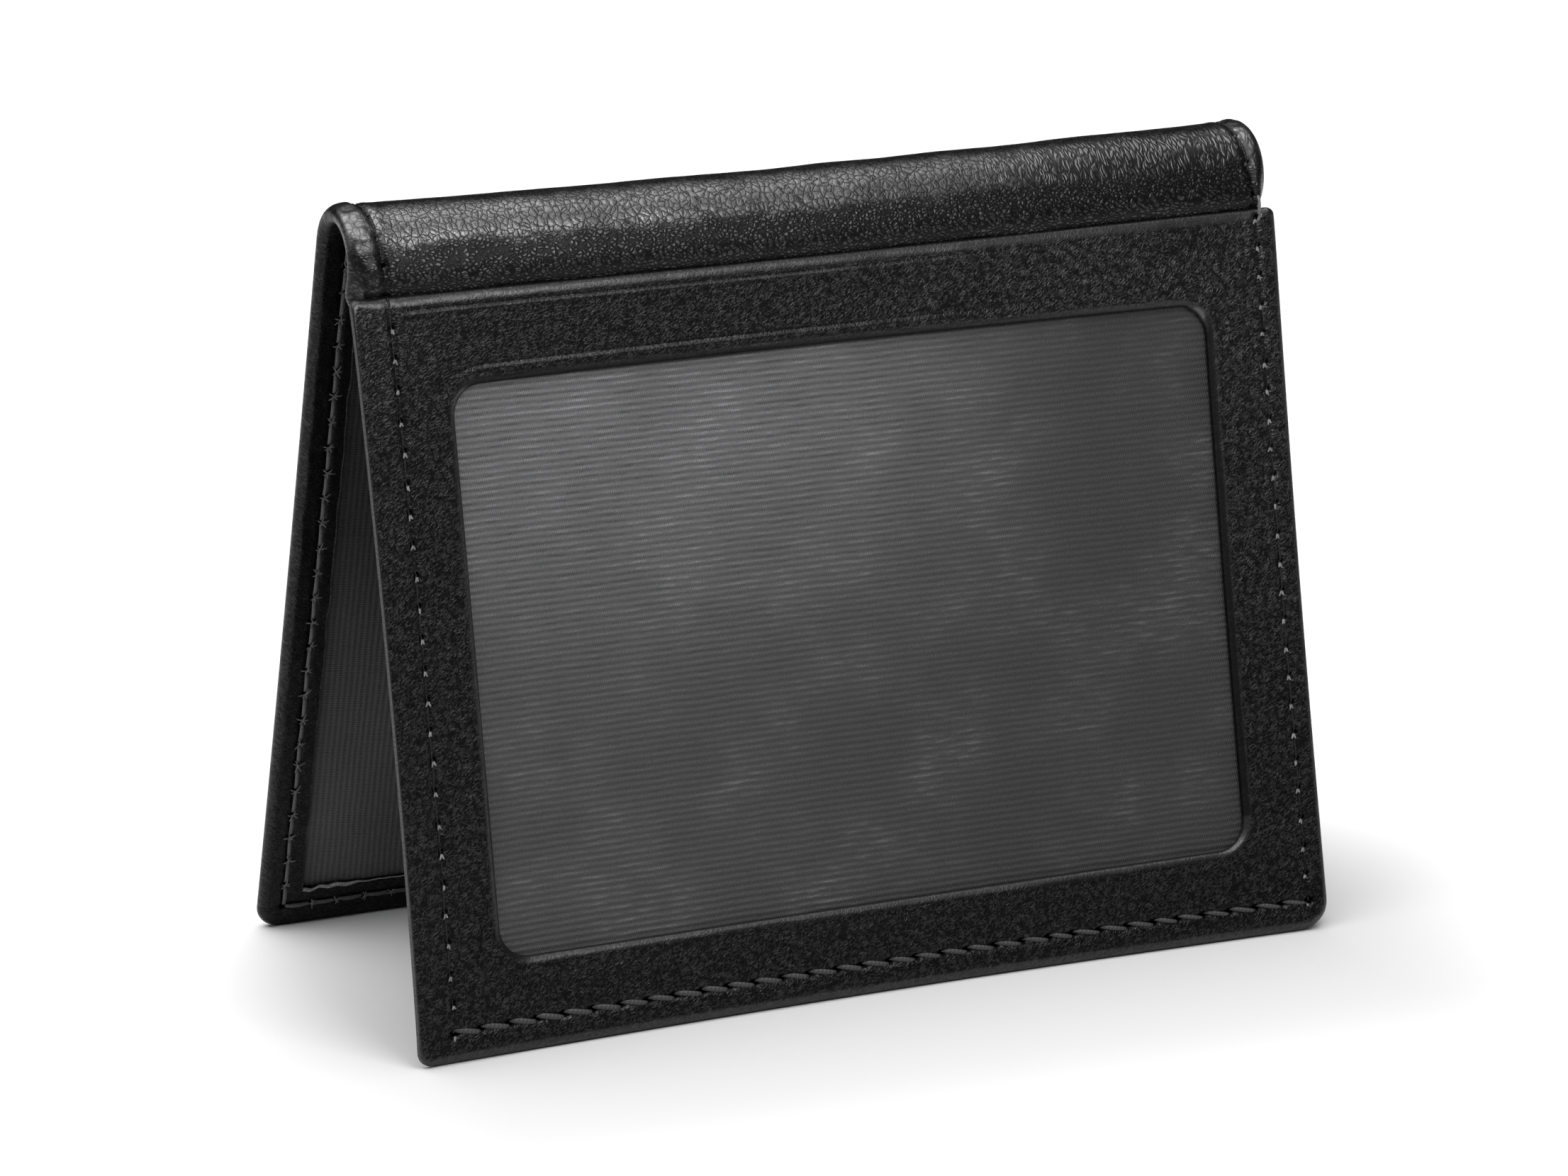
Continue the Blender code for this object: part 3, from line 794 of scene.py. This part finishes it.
# How far each crease is from the panel's top or from the window.
TOP_CREASE = 0.0015
OVER_CREASE = 0.0018
UNDER_CREASE = 0.0019
CLOTH_LEVEL = 0.0005
CLOTH_OVERLAP = 0.003
POCKET_STEP = 0.0007
# How far in from the panel's edge its grid is finest, fine, and ends at the window.
EDGE_BAND = 0.001
SEAM_BAND = 0.0036
NARROWEST = 0.0086
# Width over length of the front end seam's long needle holes.
LONG_HOLE = 0.62


def arch(x, y):
    """How far the window's top and bottom bow away from its middle."""
    centre = (WINDOW_LEFT + WINDOW_RIGHT) / 2
    share = np.clip(1 - ((x - centre) / (WINDOW_RIGHT - centre)) ** 2, 0, 1)
    return np.where(y < WINDOW_MIDDLE, ARCH_TOP, -ARCH_BOTTOM) * share


def window_distance(x, y):
    """Distance from the window's edge, positive on the leather."""
    sides = (WINDOW_LEFT, WINDOW_RIGHT, WINDOW_TOP, WINDOW_BOTTOM)
    return rectangle_distance(x, y + arch(x, y), *sides, WINDOW_CORNER)


def panel_distance(x, y):
    """Distance in from the panel's outer edge."""
    high, low = y < WINDOW_MIDDLE, y >= WINDOW_MIDDLE
    left = x < 0
    corner = np.where(high, PANEL_CORNERS["high_left"], PANEL_CORNERS["low_right"])
    corner = np.where(low & left, PANEL_CORNERS["low_left"], corner)
    return -rectangle_distance(x, y, -HALF_PANEL, HALF_PANEL, PANEL_TOP, PANEL_END, corner)


def rounding(x, y):
    """Width and depth of the edge rounding near a place, mixed at the corners."""
    gaps = {"left": x + HALF_PANEL, "right": HALF_PANEL - x, "top": y - PANEL_TOP, "bottom": PANEL_END - y}
    nearest = np.minimum.reduce(list(gaps.values()))
    weights = {side: np.exp(-(gap - nearest) / SIDE_MIX) for side, gap in gaps.items()}
    total = sum(weights.values())
    width = sum(weights[side] * SIDE_ROUNDING[side][0] for side in gaps) / total
    depth = sum(weights[side] * SIDE_ROUNDING[side][1] for side in gaps) / total
    return width, depth


def dropped(distance, width, depth):
    """Fall of a rounded edge, the whole depth at distance 0 and none past its width."""
    inward = np.clip(1 - distance / width, 0, 1)
    return depth * (1 - np.sqrt(np.clip(1 - inward**2, 0, 1)))


def creases(x, y):
    """The pressed lines round the panel: distance past each line, how strong it still is, and its depth."""
    top_fade = smooth(x, 0.040, -0.01) * smooth(x, -0.0455, -0.0442)
    window = window_distance(x, y)
    sides = 1 - smooth(np.abs(x - WINDOW_LEFT - 0.02), 0.0185, 0.047)
    over_fade = sides * (y < WINDOW_MIDDLE) * smooth(x, WINDOW_LEFT - 0.0012, WINDOW_LEFT + 0.004)
    under_fade = 0.6 * sides * (y > WINDOW_MIDDLE) * smooth(x, WINDOW_LEFT - 0.001, WINDOW_LEFT + 0.006)
    return (
        (y - PANEL_TOP - TOP_CREASE, top_fade, 0.00022),
        (OVER_CREASE - window, over_fade, 0.0003),
        (window - UNDER_CREASE, under_fade, 0.00018),
    )


def panel_relief(x, y):
    """Height of the panel's seams, creases and unevenness."""
    relief = 0.00005 * ripples(x, y, 0.013, 71) + 0.000015 * ripples(x, y, 0.004, 72)
    for side in ("left", "right"):
        off = x - seam_x(side, y)
        ended = 1 - smooth(y, FRONT_SEAM_END, FRONT_SEAM_END + 0.0004)
        holes = SIDE_HOLES[side][SIDE_HOLES[side][:, 1] > PANEL_TOP]
        relief -= 0.00016 * ended * bump_at(off, 0.00022)
        relief += 0.00005 * bump_at(np.abs(off) - 0.0008, 0.0006)
        relief -= 0.00035 * near_holes(x, y, holes, 0.00022)
    off = y - FRONT_SEAM_END
    within = smooth(x, -0.0466, -0.0460) * (1 - smooth(x, 0.0477, 0.0482))
    relief -= 0.00018 * within * bump_at(off, 0.0003)
    relief += 0.00014 * bump_at(off - 0.0013, 0.0008)
    relief += 0.00005 * bump_at(off + 0.0009, 0.0007)
    relief += 0.00003 * bump_at(off - 0.0012, 0.0009) * ripples(x, 0.3 * y, 0.003, 73)
    relief -= 0.0005 * near_holes(LONG_HOLE * x, y, END_HOLES["front"] * [LONG_HOLE, 1], 0.00026)
    for off, fade, depth in creases(x, y):
        relief -= depth * fade * (bump_at(off, 0.00017) - 0.5 * bump_at(off - 0.00034, 0.00022))
    return relief


def ring(left, right, low, high, corners, counts):
    """Closed outline with the same number of points on each side and corner for any size."""
    turns = [
        (right, low, -1, 1, corners[1], -90),
        (right, high, -1, -1, corners[2], 0),
        (left, high, 1, -1, corners[3], 90),
        (left, low, 1, 1, corners[0], 180),
    ]
    arcs = []
    for x, y, to_x, to_y, radius, start in turns:
        angle = np.radians(np.linspace(start, start + 90, counts["corner"] + 1))
        centre = (x + to_x * radius, y + to_y * radius)
        arcs.append(np.stack([centre[0] + radius * np.cos(angle), centre[1] + radius * np.sin(angle)], -1))
    points = []
    for number, arc in enumerate(arcs):
        following = arcs[(number + 1) % 4]
        count = counts["side"] if number % 2 == 0 else counts["long"]
        share = np.linspace(0, 1, count + 1)[1:-1, None]
        points += [arc, arc[-1] + (following[0] - arc[-1]) * share]
    return np.concatenate(points)


def closed_quads(rows, columns):
    """Faces of a band of rows, closed round its columns."""
    index = np.arange(rows * columns).reshape(rows, columns)
    beyond = np.roll(index, -1, axis=1)
    return np.stack([index[:-1], beyond[:-1], beyond[1:], index[1:]], -1).reshape(-1, 4)


def make_panel():
    counts = {"corner": 10, "side": 210, "long": 330}
    corners = [PANEL_CORNERS[name] for name in ("high_left", "high_right", "low_right", "low_left")]
    outer = ring(-HALF_PANEL, HALF_PANEL, PANEL_TOP, PANEL_END, corners, counts)
    inner = ring(WINDOW_LEFT, WINDOW_RIGHT, WINDOW_TOP, WINDOW_BOTTOM, [WINDOW_CORNER] * 4, counts)
    inner[:, 1] -= arch(*inner.T)
    from_edge = 1 - np.cos(np.linspace(0, math.pi / 2, ROLL_STEPS))
    past_seam = steps(SEAM_BAND, NARROWEST - LIP, 0.0002)
    bands = chain(EDGE_BAND * from_edge, steps(EDGE_BAND, SEAM_BAND, 0.00013), past_seam)
    bands = chain(bands, NARROWEST - LIP * from_edge[::-1]) / NARROWEST
    flat = outer[None] + (inner - outer)[None] * bands[:, None, None]
    x, y = flat[..., 0], flat[..., 1]
    edge, window = panel_distance(x, y), window_distance(x, y)
    width, depth = rounding(x, y)
    height = PANEL_FACE - dropped(edge, width, depth) - dropped(window, LIP, LIP_DEPTH)
    settle = smooth(edge, 0.0001, 0.0009) * smooth(window, 0.0001, 0.0009)
    height = height + settle * panel_relief(x, y)
    points = np.stack([x, y, height], -1).reshape(-1, 3)
    burnish = 1 - smooth(window, 0.0004, 0.0012)
    plain = np.maximum(burnish, 0.95 * (1 - smooth(edge, 0.8 * width, 1.3 * width)))
    for off, fade, _ in creases(x, y):
        plain = np.maximum(plain, 0.9 * fade * bump_at(off - 0.00017, 0.00017))
    # painted shade: the needle holes, and the window's top and right lips, darkened as in shade
    side_holes = np.concatenate([SIDE_HOLES["left"], SIDE_HOLES["right"]])
    painted_shade = near_holes(x, y, side_holes, 0.00027)
    painted_shade = painted_shade + near_holes(LONG_HOLE * x, y + 0.00012, END_HOLES["front"] * [LONG_HOLE, 1], 0.00030)
    in_shade = smooth(x, WINDOW_RIGHT - 0.0006, WINDOW_RIGHT)
    in_shade = np.maximum(in_shade, smooth(WINDOW_TOP + 0.0006 - y, 0.0, 0.0006))
    in_shade = in_shade * (1 - smooth(y, WINDOW_BOTTOM - 0.0035, WINDOW_BOTTOM - 0.0025))
    painted_shade = np.maximum(painted_shade, 0.36 * in_shade * (1 - smooth(window, 0.0005, 0.00095)))
    values = {"plain": plain.ravel(), "painted_shade": painted_shade.ravel()}
    faces = closed_quads(*x.shape)
    panel = new_mesh_object("window_panel_leather", stand(points), faces, panel_leather, points, values)
    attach(panel, "front_leaf")
    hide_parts("window_panel")

    levels = np.linspace(0, 1, 5)[:, None]
    top = height[0][None]
    side = np.stack([x[0] + 0 * levels, y[0] + 0 * levels, top + (PANEL_BASE - top) * levels], -1)
    side = side.reshape(-1, 3)
    faces = closed_quads(len(levels), len(outer))[:, ::-1]
    wall = new_mesh_object("panel_cut_edge", stand(side), faces, raw_edge, side)
    under = np.stack([x[::6], y[::6], np.full(x[::6].shape, PANEL_BASE)], -1)
    faces = closed_quads(len(under), len(outer))[:, ::-1]
    under = under.reshape(-1, 3)
    underside = new_mesh_object("panel_underside", stand(under), faces, raw_edge, under)
    for piece in (wall, underside):
        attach(piece, "front_leaf")


def make_pocket_cloth():
    columns = steps(WINDOW_LEFT - CLOTH_OVERLAP, WINDOW_RIGHT + CLOTH_OVERLAP, POCKET_STEP)
    rows = steps(WINDOW_TOP - CLOTH_OVERLAP, WINDOW_BOTTOM + CLOTH_OVERLAP, POCKET_STEP)
    x, y = np.meshgrid(columns, rows)
    inside = smooth(-window_distance(x, y), -0.0005, 0.006)
    height = CLOTH_LEVEL + inside * 0.00004 * ripples(x, y, 0.018, 81)
    flat = np.stack([x, y, height], -1).reshape(-1, 3)
    cloth = new_mesh_object("pocket_cloth", stand(flat), quads(*x.shape)[:, ::-1], pocket_cloth, flat)
    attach(cloth, "front_leaf")
    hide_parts("pocket_backing")


# Thread
TUBE_SIDES = 7
FLATNESS = 0.8


def tube(path, radius, side, lit=0.0):
    """Skin round a path on the flat layout: points, faces, places along the thread and how much paler it is
    painted (lit), for painted glints and paler frayed tufts.
    """
    path = np.asarray(path, float)
    tangent = np.gradient(path, axis=0)
    tangent = tangent / np.linalg.norm(tangent, axis=1, keepdims=True)
    side = np.asarray(side, float) / np.linalg.norm(side)
    up = np.cross(side, tangent)
    around = np.linspace(0, 2 * math.pi, TUBE_SIDES + 1)
    spread = np.cos(around)[None, :, None] * side + FLATNESS * np.sin(around)[None, :, None] * up[:, None, :]
    points = path[:, None, :] + np.asarray(radius)[:, None, None] * spread
    length = np.concatenate([[0], np.cumsum(np.linalg.norm(np.diff(path, axis=0), axis=1))])
    turn = np.broadcast_to(around / (2 * math.pi) * 0.001, points.shape[:2])
    place = np.stack([turn, np.broadcast_to(length[:, None], points.shape[:2])], -1)
    points = points.reshape(-1, 3)
    return points, quads(len(path), TUBE_SIDES + 1)[:, ::-1], place.reshape(-1, 2), np.full(len(points), lit)


def laid_stitch(start, end, level, rise, sink, radius, slant=0.0, lit=0.0):
    """One stitch from hole to hole: it dives at both ends and may lie aslant."""
    start, end = np.asarray(start, float), np.asarray(end, float)
    share = np.linspace(0, 1, 13)
    ahead = (end - start) / np.linalg.norm(end - start)
    side = np.array([-ahead[1], ahead[0]])
    flat = start + (end - start) * share[:, None] + side * (slant * (share - 0.5))[:, None]
    height = level - sink + (sink + rise) * np.sin(math.pi * share) ** 0.4
    path = np.column_stack([flat, height])
    thick = radius * (0.72 + 0.28 * np.sin(math.pi * share) ** 0.5)
    return tube(path, thick, [*side, 0], lit)


def fibre(start, heading, length, level, rise, radius, lit):
    """A short loose end, up out of its hole and over."""
    share = np.linspace(0, 1, 6)
    angle = math.radians(heading)
    ahead = np.array([math.cos(angle), math.sin(angle)])
    flat = np.asarray(start) + ahead * (length * share)[:, None]
    height = level + rise * np.sin(math.pi * (0.15 + 0.6 * share))
    path = np.column_stack([flat, height])
    return tube(path, radius * (1 - 0.5 * share), [-ahead[1], ahead[0], 0], lit)


def knot(hole, level, size, lit, seed):
    """The v-shaped catch of a lock stitch beside its hole."""
    random = np.random.default_rng(seed)
    made = []
    for heading in (72, 112):
        turn = heading + random.uniform(-16, 16)
        long = size * random.uniform(0.7, 1.15)
        made.append(fibre(hole, turn, long, level, 0.00008, 0.00014, lit * random.uniform(0.6, 1.2)))
    return made


def tuft(hole, level, size, seed):
    """A star of frayed fibres in a hole."""
    random = np.random.default_rng(seed)
    first = random.uniform(0, 360)
    made = []
    for number in range(5):
        heading = first + 72 * number + random.uniform(-25, 25)
        long = size * random.uniform(0.5, 1.1)
        made.append(fibre(hole, heading, long, level, random.uniform(0.00006, 0.00016), 0.0001, 0.5))
    return made


def make_thread(name, tubes, material):
    """All the tubes as one object."""
    points, faces, places, lit = (list(column) for column in zip(*tubes))
    starts = np.cumsum([0] + [len(own) for own in points[:-1]])
    faces = [own + start for own, start in zip(faces, starts)]
    lit = {"lit": np.concatenate(lit)}
    placed = stand(np.concatenate(points))
    return new_mesh_object(name, placed, np.concatenate(faces), material, np.concatenate(places), lit)


# The levels at which the thread's stitches lie, and its radius.
OUTER_LEVEL = -0.00012
PANEL_LEVEL = PANEL_FACE - 0.00012
THREAD_RADIUS = 0.00014


def side_stitches(side, number):
    """Outer stitches and knots of one side seam, on one of the shell's strips."""
    low, high = STRIP_LIMITS[number], STRIP_LIMITS[number + 1]
    holes = SIDE_HOLES[side]
    made = []
    for index, (start, end) in enumerate(zip(holes[:-1], holes[1:])):
        if not low < (start[1] + end[1]) / 2 < high:
            continue
        on_panel = start[1] > PANEL_TOP
        crossing = start[1] < PANEL_TOP < end[1]
        level = PANEL_LEVEL if on_panel or crossing else OUTER_LEVEL
        slant = 0.00008 if side == "left" else -0.00012
        # lit paints glints: on the stitch crossing onto the panel and on each knot
        if crossing and side == "right":
            over = end + [0.0005, -0.0005]
            made.append(laid_stitch(start, over, level + 0.0003, 0.0002, 0.0004, 0.00016, 0.0004, 0.6))
            back, under = end + [0.0005, -0.0006], end + [0.0001, 0.0005]
            made.append(laid_stitch(back, under, level, 0.0002, 0.0002, 0.00015, 0.0, 0.6))
            made += knot(start + [-0.0006, 0.0012], OUTER_LEVEL + 0.0003, 0.0004, 0.8, 490)
        else:
            rise = -0.00008 if on_panel else 0.0
            made.append(laid_stitch(start, end, level, rise, 0.0002, THREAD_RADIUS, slant))
        aside = 0.0 if side == "left" else -0.0002
        if on_panel or crossing:
            made += knot(end + [aside, 0.00028], PANEL_LEVEL + 0.00010, 0.00046, 0.95, 500 + index)
        else:
            made += knot(end + [aside, 0.00016], OUTER_LEVEL + 0.00004, 0.00034, 0.12, 600 + index)
    return made


def inner_stitches(side, number):
    """Stitches of a side seam on the lining's side, with frayed holes."""
    low, high = STRIP_LIMITS[number], STRIP_LIMITS[number + 1]
    holes = SIDE_HOLES[side]
    made = []
    for index, (start, end) in enumerate(zip(holes[:-1], holes[1:])):
        if not low < (start[1] + end[1]) / 2 < high:
            continue
        made.append(under_stitch(start, end))
        made += under_tuft(end, 700 + index)
    return made


def mirrored(made):
    """A tube turned over to lie on the lining's side."""
    points, faces, place, lit = made
    points = points.copy()
    points[:, 2] = -SHELL_DEPTH - points[:, 2]
    return points, faces[:, ::-1], place, lit


def under_stitch(start, end):
    ahead = 0.09 * (end - start)
    # painted light: lit 0.25 makes these stitches a little paler
    return mirrored(laid_stitch(start + ahead, end - ahead, 0.00004, 0.00008, 0.0002, 0.00022, 0.0, 0.25))


def under_tuft(hole, seed):
    return [mirrored(piece) for piece in tuft(hole, 0.00010, 0.00075, seed)]


def make_side_seams():
    for side in ("left", "right"):
        for number, strip in enumerate(STRIP_NAMES):
            outer = make_thread(f"{side}_seam_{strip}", side_stitches(side, number), dark_thread)
            inner = make_thread(f"{side}_inner_seam_{strip}", inner_stitches(side, number), sheen_painted_thread)
            for piece in (outer, inner):
                blend_over_hinge(piece)
            if strip == "rear":
                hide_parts(f"rear_seam_{side}", f"spine_seam_{side}_1")
                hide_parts(f"rear_inner_seam_{side}")
            elif strip == "front":
                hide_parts(f"front_seam_{side}")
                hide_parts(f"front_inner_seam_{side}")
            else:
                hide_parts(f"spine_seam_{side}_{number + 1}")


def make_end_seams():
    for leaf in ("rear", "front"):
        holes = END_HOLES[leaf]
        outer, inner = [], []
        for index, (start, end) in enumerate(zip(holes[:-1], holes[1:])):
            if leaf == "front":
                thick = np.interp((start[0] + end[0]) / 2, [-0.02, 0.03], [0.00032, 0.00025])
                gap = np.array([0.0001, 0.0])
                outer.append(laid_stitch(start + gap, end - gap, PANEL_LEVEL, 0.00003, 0.0003, thick, 0.0006))
            else:
                outer.append(laid_stitch(start, end, OUTER_LEVEL, 0.00006, 0.0002, THREAD_RADIUS, 0.0001))
            inner.append(under_stitch(start, end))
            inner += under_tuft(end, 800 + index)
        seam = make_thread(f"{leaf}_end_seam", outer, sheen_painted_thread if leaf == "front" else dark_thread)
        under = make_thread(f"{leaf}_inner_end_seam", inner, sheen_painted_thread)
        for piece in (seam, under):
            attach(piece, f"{leaf}_leaf")
        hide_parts(f"{leaf}_seam_end")
        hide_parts(f"{leaf}_inner_seam_end")


def make_frayed_edge():
    """The fluffed-up cut edge of the rear leaf's bottom hem, thickest at its left corner."""
    across = steps(-HALF_SHELL + HEM, HALF_SHELL - HEM, 0.0002)
    from_corner = across + HALF_SHELL - HEM
    bead = 1 - smooth(from_corner, 0.004, 0.0075)
    lumps = ripples(across, 0 * across, 0.0016, 91)
    radius = 0.00007 + bead * (0.00013 + 0.00005 * lumps)
    along = REAR_END + HEM + 0.00008 * ripples(across, 0 * across, 0.0022, 92) * (0.4 + bead)
    height = np.full(len(across), -SHELL_DEPTH - 0.00004)
    path = np.column_stack([across, along, height])
    edge = make_thread("frayed_hem_edge", [tube(path, radius, (0, 1, 0))], frayed_edge)
    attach(edge, "rear_leaf")


# The room: pale floor with a painted shadow round the case, soft light, camera
CAMERA_AT = (-0.248247, -0.538512, 0.201189)
CAMERA_YAW = 0.4312304
CAMERA_DOWN = 0.2715287
CAMERA_ROLL = -0.0025767
CAMERA_LENS = 139.843
FLOOR_SIZE = 8.0
FLOOR_LEVEL = -0.00001
FLOOR_TONE = 0.85
FLOOR_NEAR_TONE = 0.25
FLOOR_PAINTED_SHADOW_TONE = 0.56
# Where the floor grows dim towards the camera, and where a painted shadow darkens it softly round the case,
# in millimetres.
DIM_FROM = -105.0
DIM_TO = -220.0
FOOT_MIDDLE = 30.0
FOOT_REACH = 60.0
FOOT_CORE = 12.0
FOOT_SIDE_REACH = 90.0
FOOT_SIDE_CORE = 45.0
SKY = 0.05
SUN_STRENGTH = 4.0
SUN_SPREAD = math.radians(72)
SUN_FROM = (-0.18, 0.12, 1.0)
SIDE_STRENGTH = 0.5
SIDE_SPREAD = math.radians(60)
SIDE_FROM = (-1.0, -0.1, 0.8)
KEY_POWER = 0.3
KEY_SIZE = 0.11
KEY_AT = (0.0, -0.155, 0.187)
KEY_TOWARDS = (-0.02, 0.0, 0.06)


def add_light(name, kind, place, towards, **settings):
    light = bpy.data.objects.new(name, bpy.data.lights.new(name, kind))
    for key, value in settings.items():
        setattr(light.data, key, value)
    light.location = place
    light.rotation_mode = "QUATERNION"
    light.rotation_quaternion = (Vector(towards) - Vector(place)).to_track_quat("-Z", "Y")
    bpy.context.scene.collection.objects.link(light)
    return light


def white(level):
    return (level, level, level, 1.0)


def make_room():
    half = FLOOR_SIZE / 2
    corners = np.array([(-half, -half, 0), (half, -half, 0), (half, half, 0), (-half, half, 0)], float)
    corners[:, 2] = FLOOR_LEVEL
    n = Nodes("pale_floor")
    across, along = n.split(n.mm)
    nearer = n.mix_colour(n.ramp(along, DIM_FROM, DIM_TO), white(FLOOR_TONE), white(FLOOR_NEAR_TONE))
    # painted shadow: the floor's colour darkened round the case's foot
    from_foot = n.unsigned(n.plus(along, FOOT_MIDDLE))
    aside = n.ramp(n.unsigned(across), FOOT_SIDE_REACH, FOOT_SIDE_CORE)
    around = n.times(n.ramp(from_foot, FOOT_REACH, FOOT_CORE), aside)
    n.finish(n.mix_colour(around, nearer, white(FLOOR_PAINTED_SHADOW_TONE)), 0.7, 0.2)
    floor = new_mesh_object("floor", corners, [(0, 1, 2, 3)], n.material, corners)
    sun = add_light("sky_panel", "SUN", SUN_FROM, (0, 0, 0), energy=SUN_STRENGTH, angle=SUN_SPREAD)
    side = add_light("side_panel", "SUN", SIDE_FROM, (0, 0, 0), energy=SIDE_STRENGTH, angle=SIDE_SPREAD)
    key = add_light("key_panel", "AREA", KEY_AT, KEY_TOWARDS, energy=KEY_POWER, size=KEY_SIZE)
    world = bpy.data.worlds.new("studio")
    world.use_nodes = True
    world.node_tree.nodes["Background"].inputs["Color"].default_value = white(SKY)
    bpy.context.scene.world = world
    bpy.context.scene.view_settings.view_transform = "Standard"


def make_camera():
    """The camera, by its place and the angles it is turned through."""
    turn = Matrix.Rotation(-CAMERA_YAW, 4, "Z") @ Matrix.Rotation(math.pi / 2 - CAMERA_DOWN, 4, "X")
    turn = turn @ Matrix.Rotation(CAMERA_ROLL, 4, "Z")
    camera = bpy.data.objects.new("camera", bpy.data.cameras.new("camera"))
    camera.data.sensor_width = 36.0
    camera.data.lens = CAMERA_LENS
    camera.data.clip_start = 0.01
    camera.data.clip_end = 50.0
    camera.matrix_world = Matrix.Translation(CAMERA_AT) @ turn
    bpy.context.scene.collection.objects.link(camera)
    bpy.context.scene.camera = camera


make_shell()
make_lining()
make_panel()
make_pocket_cloth()
make_side_seams()
make_end_seams()
make_frayed_edge()
make_room()
make_camera()
